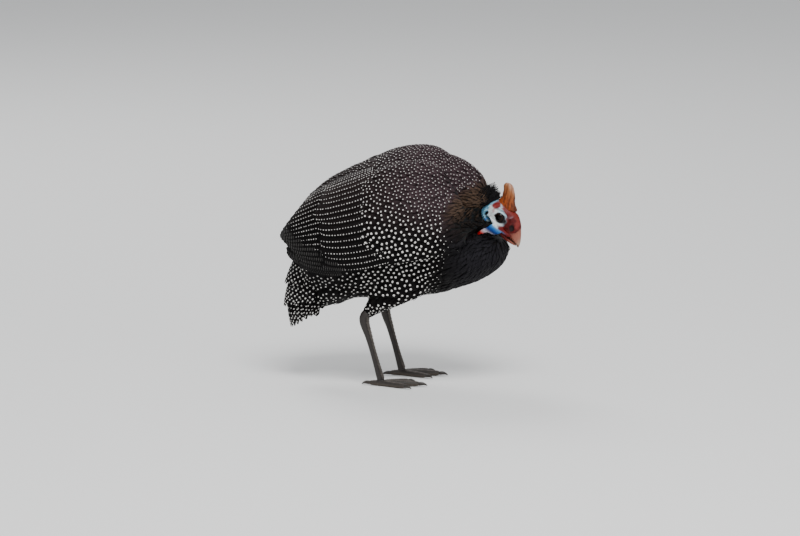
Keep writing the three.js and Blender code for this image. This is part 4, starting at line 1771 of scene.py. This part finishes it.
@dataclass(frozen=True)
class Tract:
    """One tract of small feathers, and the bounds that its roots keep."""

    name: str
    lay: LayOf
    long: float
    wide: float
    rise: Pair
    x: Pair = ANYWHERE
    y: Pair = ANYWHERE
    z: Pair = ANYWHERE
    around: Pair = ANYWHERE
    ruff: Pair = ANYWHERE
    finish: Finish = Finishes.PLUMAGE
    slot: str = "plumage"
    fray: float = 0.05

    def holds(self, roots: Array, pattern: Pattern) -> Array:
        """Which roots lie within all of its bounds.

        Args:
            roots: The roots, one row each.
            pattern: How the coat varies.

        Returns:
            True for each root that does.
        """
        values = (*roots.T, pattern.around(roots), pattern.ruff(roots))
        inside = np.ones(len(roots), bool)
        for (low, high), value in zip((self.x, self.y, self.z, self.around, self.ruff), values):
            inside &= (low < value) & (value < high)
        return inside


DOWNY = {"finish": Finishes.COLLAR, "slot": "collar", "fray": 0.16}
# The tracts in the order of building; a root belongs to the first that holds it.
TRACTS = (
    Tract("thigh", LayOf.THIGH, 3.0, 0.8, (-0.4, 2.4), x=(-62, 30), z=(-math.inf, 118)),
    Tract("collar", LayOf.NECK, 4.6, 0.58, (-0.4, 3.6), ruff=(0.25, 2), **DOWNY),
    Tract("breast", LayOf.NECK, 3.6, 0.62, (-0.5, 3.2), x=(74, math.inf), z=(-math.inf, 232), fray=0.1),
    Tract("vent", LayOf.VENT, 3.4, 0.8, (-0.4, 5.0), x=(-math.inf, -62), z=(-math.inf, 150)),
    Tract("mantle", LayOf.BODY, 3.1, 0.76, (-0.5, 3.6), x=(-20, math.inf), around=(-1, 36)),
    Tract("rump", LayOf.BODY, 3.6, 0.8, (-0.5, 6.4), around=(-1, 36)),
    Tract("belly", LayOf.BODY, 2.9, 0.76, (-0.5, 4.6), around=(112, 181)),
    Tract("left_coverts", LayOf.BODY, 2.9, 0.76, (-0.5, 4.2), y=(0, math.inf)),
    Tract("right_coverts", LayOf.BODY, 2.9, 0.76, (-0.5, 4.2)),
)


@dataclass
class Coat:
    """The small feathers over the body, neck, wings' fronts and thighs, with their dots."""

    hull: Hull
    head: Head
    pattern: Pattern = Pattern()
    steps: int = 7
    seed: int = 11

    def packed(self) -> Array:
        """Root places in natural staggered rows, laid from the head backwards as close as they may be.

        Returns:
            The roots.
        """
        count = 90000
        places = self.hull.scattered(self.seed, count)
        places, _ = self.hull.snap(places)
        step = self.pattern.spacing(places)
        order = np.argsort(-places[:, 0] + 0.12 * places[:, 2])
        cell = 9.0
        kept: dict[tuple[int, int, int], Line] = {}
        chosen = []
        keys = np.floor(places / cell).astype(int)
        near = [(i, j, k) for i in (-1, 0, 1) for j in (-1, 0, 1) for k in (-1, 0, 1)]
        for index in order:
            x, y, z = places[index]
            a, b, c = keys[index]
            limit = step[index] ** 2
            others = (spot for i, j, k in near for spot in kept.get((a + i, b + j, c + k), ()))
            if all((u - x) ** 2 + (v - y) ** 2 + (w - z) ** 2 >= limit for u, v, w in others):
                kept[a, b, c] = (*kept.get((a, b, c), ()), (x, y, z))
                chosen.append(index)
        return places[chosen]

    def spines(self, tract: Tract, roots: Array, seed: int) -> Spines:
        """The shafts of one tract.

        Args:
            tract: The tract.
            roots: Where its feathers are rooted.
            seed: For their small differences.

        Returns:
            The shafts.
        """
        draw = np.random.default_rng(seed)
        count = len(roots)
        step = self.pattern.spacing(roots)
        size = draw.uniform(0.93, 1.07, count)
        lengths = step * tract.long * size
        tips = tract.rise[1] * (step / 8) ** 0.5 + draw.uniform(-0.25, 0.25, count)
        rise = (np.full(count, tract.rise[0]), tips)
        points, normals, sides = self.hull.lay(roots, tract.lay, lengths, rise, self.steps)
        sway = draw.normal(0, tract.fray, count) * lengths
        points = points + sides * (sway[:, None] * np.linspace(0, 1, self.steps) ** 1.5)[..., None]
        sides = unit(sides + normals * draw.uniform(-0.06, 0.06, count)[:, None, None])
        colours = self.pattern.ground(roots) * draw.uniform(0.75, 1.25, (count, 1))
        turn = np.arctan2(roots[:, 1], roots[:, 2] - 190) / TURN + 0.5
        places = np.stack([0.03 + 0.94 * turn, 0.03 + 0.94 * (roots[:, 0] + 150) / 300], -1)
        return Spines(points, normals, sides, step * tract.wide * size, places, colours)

    def build(self) -> None:
        """Lays every tract and its dots."""
        roots = self.packed()
        around = self.pattern.around(roots)
        edge = -57 + 9 * cloud(roots, 10, 17)
        quills = (roots[:, 0] < edge) & (around > 34) & (around < 108)
        roots = roots[~quills & self.head.clear_of(roots, 1.2)]
        cut = VaneCut(thick=0.3, camber=0.08, ragged=0.05)
        for number, tract in enumerate(TRACTS):
            mine = tract.holds(roots, self.pattern)
            spines = self.spines(tract, roots[mine], self.seed + number)
            dots = self.pattern.dot(roots[mine])
            roots = roots[~mine]
            piece = cut.build(f"{tract.name}_feathers", spines, number)
            dress(piece, tract.finish, tract.slot)
            keep = np.flatnonzero(dots > 0.35)
            if len(keep) > 3:
                marks = Marks()
                marks.add(keep, 0.84, 0.0, dots[keep], dots[keep])
                dress(marks.build(f"{tract.name}_dots", spines, cut, number + 50), Finishes.SPOT, tract.slot)


@dataclass(frozen=True)
class WingTier:
    """One tier of a folded wing's large feathers, from its lowest to its highest feather."""

    count: int
    root: Pair
    root_angle: Pair
    tip: Pair
    tip_angle: Pair
    lift: Pair
    half_width: float
    bulge: float = 0.0


@dataclass
class Wing:
    """The large feathers of a folded wing, in tiers that lie like shingles."""

    side: Side
    anatomy: Anatomy = ANATOMY
    pattern: Pattern = Pattern()
    steps: int = 20
    tiers: tuple[WingTier, ...] = (
        WingTier(7, (-62, -66), (116, 98), (-126, -143), (112, 95), (0.6, 1.6), 9.5),
        WingTier(17, (0, -34), (107, 30), (-120, -116), (107, 21), (1.2, 5.6), 10.5, 27),
        WingTier(17, (2, -30), (107, 30), (-88, -96), (107, 24.5), (3.0, 6.6), 9.5, 4),
    )

    def spines(self, tier: WingTier, level: int) -> Spines:
        """The shafts of a tier on the surface that the wing wraps.

        Args:
            tier: The tier.
            level: Its place from the lowest tier, 0.

        Returns:
            The shafts.
        """
        draw = np.random.default_rng(100 + level)
        share = np.linspace(0, 1, tier.count)[:, None]
        along = np.linspace(0, 1, self.steps)[None]
        loose = 5 * (tier.bulge < 10)
        tip_x = between(*tier.tip, share) - tier.bulge * np.sin(math.pi * share) ** 1.5
        tip_x = tip_x + draw.uniform(-1, 1, share.shape) * loose
        x = between(between(*tier.root, share), tip_x, along)
        angle = between(between(*tier.root_angle, share), between(*tier.tip_angle, share), along)
        flush = 1 - 0.5 * share**3
        lift = between(*tier.lift, along) * flush
        around = self.side.value * np.radians(angle)
        wrap = self.anatomy.wrap
        shares = wrap.share_at(x)
        points = wrap.lifted(shares, around, lift)
        normals = wrap.normal(shares, around)
        tangents = unit(np.gradient(points, axis=1))
        sides = unit(np.cross(normals, tangents))
        pitch = np.linalg.norm(np.diff(points, axis=0), axis=-1).mean(0)[None, :, None]
        slope = 0.85 / np.maximum(pitch, 4)
        sides = unit(sides - normals * slope * self.side.value)
        normals = unit(np.cross(tangents, sides))
        colours = self.pattern.ground(points[:, -1]) * draw.uniform(0.85, 1.15, (tier.count, 1))
        places = np.stack([0.1 + 0.8 * share[:, 0], np.full(tier.count, 0.1 + 0.2 * level)], -1)
        return Spines(points, normals, sides, np.full(tier.count, tier.half_width), places, colours)

    def build(self) -> None:
        """Builds the tiers and their marks."""
        cut = VaneCut(Outline.QUILL, columns=9, thick=0.4, camber=0.05, ragged=0.02)
        beds = [self.spines(tier, level) for level, tier in enumerate(self.tiers)]
        dots, bars, start = Marks(), Marks(), 0
        for tier, bed in zip(self.tiers, beds):
            self.mark(dots, bars, tier, bed, start)
            start += tier.count
        spines = Spines.together(beds)
        word = self.side.word
        dress(cut.build(f"{word}_wing_quills", spines, 5), Finishes.PLUMAGE, "plumage", (f"{word}_wing",))
        dress(dots.build(f"{word}_quill_dots", spines, cut, 6, 0.95), Finishes.SPOT, "plumage")
        dress(bars.build(f"{word}_quill_bars", spines, cut, 7, 0.14), Finishes.SPOT, "plumage")

    def mark(self, dots: Marks, bars: Marks, tier: WingTier, bed: Spines, start: int) -> None:
        """Lines of dots along the quills, and thin bars across the lowest of them.

        Args:
            dots: Takes the dots.
            bars: Takes the bars.
            tier: The tier to mark.
            bed: Its shafts.
            start: The number of its first shaft in the whole wing.
        """
        lengths = bed.lengths
        draw = np.random.default_rng(start + 300)
        lower = self.side.value
        for k in range(tier.count):
            length = lengths[k]
            first = 0.1 * length if k < tier.count - 3 else 0.0
            stations = (np.arange(first, length - 2, 3.7) + draw.uniform(0, 3.7)) / length
            stations = np.clip(stations + draw.uniform(-0.5, 0.5, len(stations)) / length, 0, 0.985)
            low = self.low(bed, k, stations) + draw.uniform(-5, 5, len(stations))
            size = draw.uniform(0.66, 0.88, len(stations)) * (1 - 0.4 * smoothstep(-14, 0, low))
            keep = low < 0
            index, seen, wide = np.full(keep.sum(), start + k), stations[keep], size[keep]
            for row in (-0.66,) if k < tier.count - 2 else (-0.66, -0.05, 0.5):
                dots.add(index, seen, row * lower, 1.12 * wide, wide)
            stations = np.arange(0.1 * length, length - 2, 2.5) / length
            stations = stations[self.low(bed, k, stations) + draw.uniform(-4, 4, len(stations)) > 0]
            bars.add(np.full(len(stations), start + k), stations, -0.62 * lower, 0.26, 2.7)

    @staticmethod
    def low(bed: Spines, k: int, stations: Array) -> Array:
        """How far places on a quill lie below the line under which it is barred.

        Args:
            bed: The shafts of a tier.
            k: Which of them.
            stations: Where along it, from 0 to 1.

        Returns:
            Heights below the line.
        """
        shares = np.linspace(0, 1, bed.points.shape[1])
        x, z = (np.interp(stations, shares, bed.points[k, :, axis]) for axis in (0, 2))
        return 155 + 0.57 * (-58 - x) - z


@dataclass
class Tail:
    """The hanging tail: a roofed fan of quills under two tiers of coverts."""

    anatomy: Anatomy = ANATOMY
    steps: int = 14
    line: Line = (
        (-108, 0, 176), (-126, 0, 150), (-138, 0, 120), (-143, 0, 92), (-139, 0, 67),
    )
    fans: tuple[tuple[float, ...], ...] = (
        (16, 13, 43, 9, 40, 10, 1, 0), (13, 12, 38, 8, 31, 9, 0.74, 5.2),
        (11, 12, 30, 8, 22, 8.5, 0.5, 9.6),
    )

    def fan(self, level: int) -> Spines:
        """The shafts of one fan.

        Args:
            level: Which fan, from the innermost, 0.

        Returns:
            The shafts.
        """
        count, root_half, tip_half, root_roof, tip_roof, half_width, reach, lift = self.fans[level]
        count = int(count)
        draw = np.random.default_rng(200 + level)
        k = np.arange(count)[:, None]
        spread = k / (count - 1) * 2 - 1.0
        under = 1.1 * np.abs(k - (count - 1) // 2)
        along = np.linspace(0, 1, self.steps)[None]
        share = along * reach * (1 - 0.16 * spread**2)
        half = between(root_half, tip_half, along)
        roof = between(root_roof, tip_roof, along)
        side = half * spread
        middle = spline(self.line, share)
        down = unit(spline(self.line, share + 0.01) - spline(self.line, share - 0.01))
        sideways = np.broadcast_to(np.array([0.0, 1.0, 0.0]), down.shape)
        back = unit(np.cross(down, sideways))
        back = np.where(back[..., :1] > 0, -back, back)
        slope = 2 * roof * side / half**2
        normal = unit(back + sideways * slope[..., None])
        points = (
            middle
            - back * (roof * side**2 / half**2)[..., None]
            + sideways * side[..., None]
            + normal * (lift - under)[..., None]
        )
        tangents = unit(np.gradient(points, axis=1))
        sides = unit(np.cross(normal, tangents))
        colours = Pattern().ground(points[:, -1]) * draw.uniform(0.85, 1.2, (count, 1))
        places = np.stack([0.1 + 0.8 * (spread[:, 0] + 1) / 2, np.full(count, 0.2 + 0.25 * level)], -1)
        return Spines(points, normal, sides, np.full(count, half_width), places, colours)

    def build(self) -> None:
        """Builds the fans and their rows of spots."""
        cut = VaneCut(Outline.QUILL, columns=7, thick=0.4, camber=0.3, ragged=0.015)
        beds = [self.fan(level) for level in range(len(self.fans))]
        spines = Spines.together(beds)
        dress(cut.build("tail_quills", spines, 7), Finishes.PLUMAGE, "plumage", ("tail",))
        marks = Marks()
        lengths = spines.lengths
        for k, length in enumerate(lengths):
            stations = np.arange(0.3 * length, length - 3, 7.6) / length
            for row, shift in ((-0.55, 0.0), (0.05, 3.8), (0.6, 0.0)):
                marks.add(np.full(len(stations), k), stations + shift / length, row, 1.3, 1.25)
        dress(marks.build("tail_quill_spots", spines, cut, 8), Finishes.SPOT, "plumage")


@dataclass
class Legs:
    """Scaly shanks and feet with their claws."""

    anatomy: Anatomy = ANATOMY
    shank_radii: tuple[float, ...] = (6.6, 6.2, 4.4, 3.9, 4.4, 5.4)
    sole_z: float = 3.4
    toes: tuple[tuple[str, float, float, float], ...] = (
        ("inner", -31, 37, 4.2),
        ("middle", 0, 48, 4.6),
        ("outer", 31, 38, 4.2),
        ("hind", 168, 15, 3.6),
    )

    def shank(self, side: Side) -> Limb:
        """The scaly shank from the hock to the toes.

        Args:
            side: The bird's side.

        Returns:
            The limb.
        """
        anatomy, y = self.anatomy, side.value * self.anatomy.hip_y
        hock_x, foot_x = anatomy.hock_x(side), anatomy.foot_x(side)
        line = [(hock_x + 5, y, anatomy.hock[1] + 8)]
        for share in (0.04, 0.32, 0.6, 0.85, 1):
            x = between(hock_x, foot_x, share)
            line.append((x, y, between(anatomy.hock[1], anatomy.toe_root[1], share)))
        return Limb(tuple(line), self.shank_radii, tuple(r * 0.86 for r in self.shank_radii))

    def toe(self, side: Side, turn: float, length: float, radius: float) -> Limb:
        """One toe, level on the floor.

        Args:
            side: The bird's side.
            turn: Its angle outwards from straight ahead, in degrees.
            length: Its length.
            radius: Its radius at the root.

        Returns:
            The limb.
        """
        angle = math.radians(turn) * -side.value
        foot_x, y = self.anatomy.foot_x(side), side.value * self.anatomy.hip_y
        line = []
        for share in (-0.08, 0.3, 0.65, 1):
            reach = length * share
            line.append((foot_x + math.cos(angle) * reach, y + math.sin(angle) * reach, self.sole_z))
        radii = tuple(radius * share for share in (1.05, 0.95, 0.86, 0.66))
        return Limb(tuple(line), radii, radii, across=(0, 0, 1))

    def build(self) -> None:
        """Builds both legs."""
        for side in Side:
            self.build_leg(side)

    def build_leg(self, side: Side) -> None:
        """One leg: fused skin, rows of scutes, and claws.

        Args:
            side: The bird's side.
        """
        limbs = [self.shank(side)] + [self.toe(side, *toe[1:]) for toe in self.toes]
        piece = Shell.joined([limb.shell(40, 24) for limb in limbs]).piece(f"{side.word}_leg_skin")
        fused(piece, 0.9, 2, 0.4)
        points, normals = points_of(piece), normals_of(piece)
        scales = np.sin(points[:, 2] * 2.6) * np.sin(points[:, 0] * 2.4 + points[:, 1] * 2.4)
        points = points + normals * (0.13 * scales)[:, None]
        points[:, 2] = np.maximum(points[:, 2], 0)
        move_points(piece, points)
        tint(piece, painted(len(points), Paint.SHANK, (Paint.SOLE, smoothstep(6, 1, points[:, 2]))))
        dress(piece, Finishes.LEG, "leg", (f"{side.word}_shank", f"{side.word}_foot"))
        self.build_scutes(side)
        for name, turn, length, _ in self.toes:
            self.build_claw(side, name, turn, length)

    def build_scutes(self, side: Side) -> None:
        """Overlapping plates down the front of the shank and along the toes.

        Args:
            side: The bird's side.
        """
        beds, steps, overlap = [], 5, 1.5
        front = (0.0, math.pi)
        runs = [(self.shank(side), 22, (0.1, 0.98), front, 0, 1.0)]
        for _, turn, length, radius in self.toes:
            top = (-math.pi / 2, math.pi / 2)
            runs.append((self.toe(side, turn, length, radius), int(length / 3.2), (0.18, 0.97), top, 2, 0.82))
        for limb, count, (first, last), angles, facing, wide in runs:
            starts = np.linspace(first, last, count, endpoint=False)[:, None]
            size = (last - first) / count * overlap
            along = np.linspace(0, 1, steps)[None]
            share = np.minimum(starts + size * along, 0.985)
            middle = limb.axes(share)[0]
            for angle in angles:
                surface = limb.place(share, np.full(share.shape, angle))
                up = unit(surface - middle)
                if up[..., facing].mean() >= 0:
                    break
            points = surface + up * (-0.25 + 0.8 * along)[..., None]
            sides = unit(np.cross(up, unit(np.gradient(points, axis=1))))
            radius = np.linalg.norm(surface - middle, axis=-1).mean(1)
            shade = np.random.default_rng(count).uniform(0.75, 1.2, (count, 1))
            places = np.stack([np.full(count, 0.5), np.linspace(0.1, 0.9, count)], -1)
            beds.append(Spines(points, up, sides, radius * wide, places, np.array(Paint.SCUTE) * shade))
        cut = VaneCut(Outline.SCUTE, columns=7, thick=0.15, camber=0.55)
        piece = cut.build(f"{side.word}_leg_scutes", Spines.together(beds), 9)
        dress(piece, Finishes.LEG, "leg")

    def build_claw(self, side: Side, name: str, turn: float, length: float) -> None:
        """One claw, bent down to the floor at its tip.

        Args:
            side: The bird's side.
            name: The toe's name.
            turn: The toe's angle outwards, in degrees.
            length: The toe's length.
        """
        reach, radius = 11.0, 2.5
        limb = Limb(
            ((0, 0, 0), (reach * 0.4, 0, 0.3), (reach * 0.75, 0, -0.5), (reach, 0, -2.2)),
            (radius, radius * 0.9, radius * 0.55, 0.5),
            (radius * 0.8, radius * 0.7, radius * 0.42, 0.4),
        )
        shell = limb.shell(20, 16)
        angle = math.radians(turn) * -side.value
        cosine, sine = math.cos(angle), math.sin(angle)
        start = length - 0.6
        forward, across, high = shell.points.T
        x = self.anatomy.foot_x(side) + cosine * (start + forward) - sine * across
        y = side.value * self.anatomy.hip_y + sine * (start + forward) + cosine * across
        points = np.stack([x, y, high + self.sole_z], -1)
        piece = Shell(points, shell.faces).piece(f"{side.word}_{name}_claw_horn")
        tint(piece, painted(len(points), Paint.CLAW))
        dress(piece, Finishes.CLAW, "claw", (f"{side.word}_{name}_claw",))


@dataclass
class Nape:
    """The crest of stiff black bristles behind the head."""

    anatomy: Anatomy = ANATOMY
    count: int = 420
    length: float = 12.0
    seed: int = 61

    def build(self) -> None:
        """Builds the bristles as tapered blades."""
        draw = np.random.default_rng(self.seed)
        neck = self.anatomy.neck
        share = draw.uniform(0.74, 0.99, self.count)
        spread = draw.normal(0, 0.42, self.count)
        middle, depth_axis, width_axis = neck.axes(share)
        up = np.where(depth_axis[:, 2:] > 0, depth_axis, -depth_axis)
        side_axis = np.where(width_axis[:, 1:2] > 0, width_axis, -width_axis)
        radial = unit(up * np.cos(spread)[:, None] + side_axis * np.sin(spread)[:, None])
        depth, width = neck.radii(share)
        reach = 1 / np.hypot(np.cos(spread) / depth, np.sin(spread) / width)
        root = middle + radial * (reach - self.anatomy.coat_depth)[:, None]
        forward, bend = np.array((0.75, 0.0, 0.1)), np.array((0.3, 0.0, 0.3))
        lean = radial + forward + draw.normal(0, 0.22, (self.count, 3))
        lengths = self.length * draw.uniform(0.6, 1.15, self.count)
        along = np.linspace(0, 1, 6)
        points = (
            root[:, None]
            + unit(lean)[:, None] * (lengths[:, None] * along)[..., None]
            + bend * (lengths[:, None] * 0.25 * along**2)[..., None]
        )
        tangents = unit(np.gradient(points, axis=1))
        normals = unit(np.cross(tangents, np.array([0.1, 1.0, 0.2])))
        sides = unit(np.cross(normals, tangents))
        places = np.stack([0.2 + 0.6 * (spread + 1.5) / 3, 0.2 + 0.6 * share], -1)
        colours = painted(self.count, Paint.BRISTLE)
        spines = Spines(points, normals, sides, np.full(self.count, 0.42), places, colours)
        cut = VaneCut(Outline.BRISTLE, columns=3, thick=0.3, camber=0.1)
        dress(cut.build("nape_bristles", spines, 3), Finishes.COLLAR, "collar")


@dataclass(frozen=True)
class Studio:
    """A pale floor, soft light and the photograph's viewpoint."""

    azimuth: float = 6.0
    elevation: float = 9.0
    distance: float = 8000.0
    lens: float = 288.0
    target: Triple = (3.0, -40.0, 150.0)
    lit_height: float = 170.0
    lamps: tuple[tuple[str, Triple, float, float], ...] = (
        ("key", (0.5, -2.0, 3.0), 1.5, 120),
        ("fill", (2.6, -2.2, 1.0), 2.0, 16),
        ("rim", (-1.2, 2.2, 2.4), 1.4, 45),
    )

    def build(self) -> None:
        """Adds the floor, the lights, the sky and the camera."""
        bpy.ops.object.select_all(action="DESELECT")
        bpy.ops.mesh.primitive_plane_add(size=30)
        floor = bpy.context.object
        floor.name = "floor"
        paint = bpy.data.materials.new("pale floor")
        paint.use_nodes = True
        shader = paint.node_tree.nodes["Principled BSDF"]
        shader.inputs["Base Color"].default_value = Paint.FLOOR
        shader.inputs["Roughness"].default_value = 0.8
        floor.data.materials.append(paint)
        for lamp in self.lamps:
            self.light(*lamp)
        world = bpy.data.worlds.new("studio")
        bpy.context.scene.world = world
        world.use_nodes = True
        background = world.node_tree.nodes["Background"]
        background.inputs["Color"].default_value = Paint.SKY
        background.inputs["Strength"].default_value = 0.62
        self.camera()

    def light(self, name: str, place: Triple, size: float, power: float) -> None:
        """Adds one soft light that shines at the bird.

        Args:
            name: The light's name.
            place: Where it hangs, in metres.
            size: Its width, in metres.
            power: Its power, in watts.
        """
        data = bpy.data.lights.new(name, "AREA")
        data.size = size
        data.energy = power
        lamp = bpy.data.objects.new(name, data)
        lamp.location = place
        aim = Vector((0, 0, self.lit_height * MM)) - Vector(place)
        lamp.rotation_euler = aim.to_track_quat("-Z", "Y").to_euler()
        bpy.context.scene.collection.objects.link(lamp)

    def camera(self) -> None:
        """Adds the camera."""
        azimuth, elevation = math.radians(self.azimuth), math.radians(self.elevation)
        level = math.cos(elevation)
        way = Vector((math.sin(azimuth) * level, -math.cos(azimuth) * level, math.sin(elevation)))
        data = bpy.data.cameras.new("camera")
        data.lens = self.lens
        data.sensor_width = 36
        data.clip_end = 100
        camera = bpy.data.objects.new("camera", data)
        target = Vector(self.target) * MM
        camera.location = target + way * self.distance * MM
        camera.rotation_euler = (-way).to_track_quat("-Z", "Y").to_euler()
        bpy.context.scene.collection.objects.link(camera)
        bpy.context.scene.camera = camera


def build_skin(head: Head, hull: Hull) -> None:
    """Joins the body's and the head's skin into one piece.

    Args:
        head: The head, whose skin is joined on.
        hull: The body's hull.
    """
    body = hull.build()
    face = head.skin()
    choose(body, face)
    bpy.ops.object.join()
    body.name = "skin"
    nodes = ["torso", "neck", "head"]
    for side in Side:
        nodes += [f"{side.word}_thigh", f"{side.word}_wattle"]
    dress(body, Finishes.SKIN, "skin", tuple(nodes))


def main() -> None:
    """Builds the bird and its studio."""
    head, hull = Head(), Hull()
    build_skin(head, hull)
    head.build_eyes()
    head.build_casque()
    head.build_bill()
    Coat(hull, head).build()
    for side in Side:
        Wing(side).build()
    Tail().build()
    Legs().build()
    Nape().build()
    Studio().build()


if __name__ == "__main__":
    main()
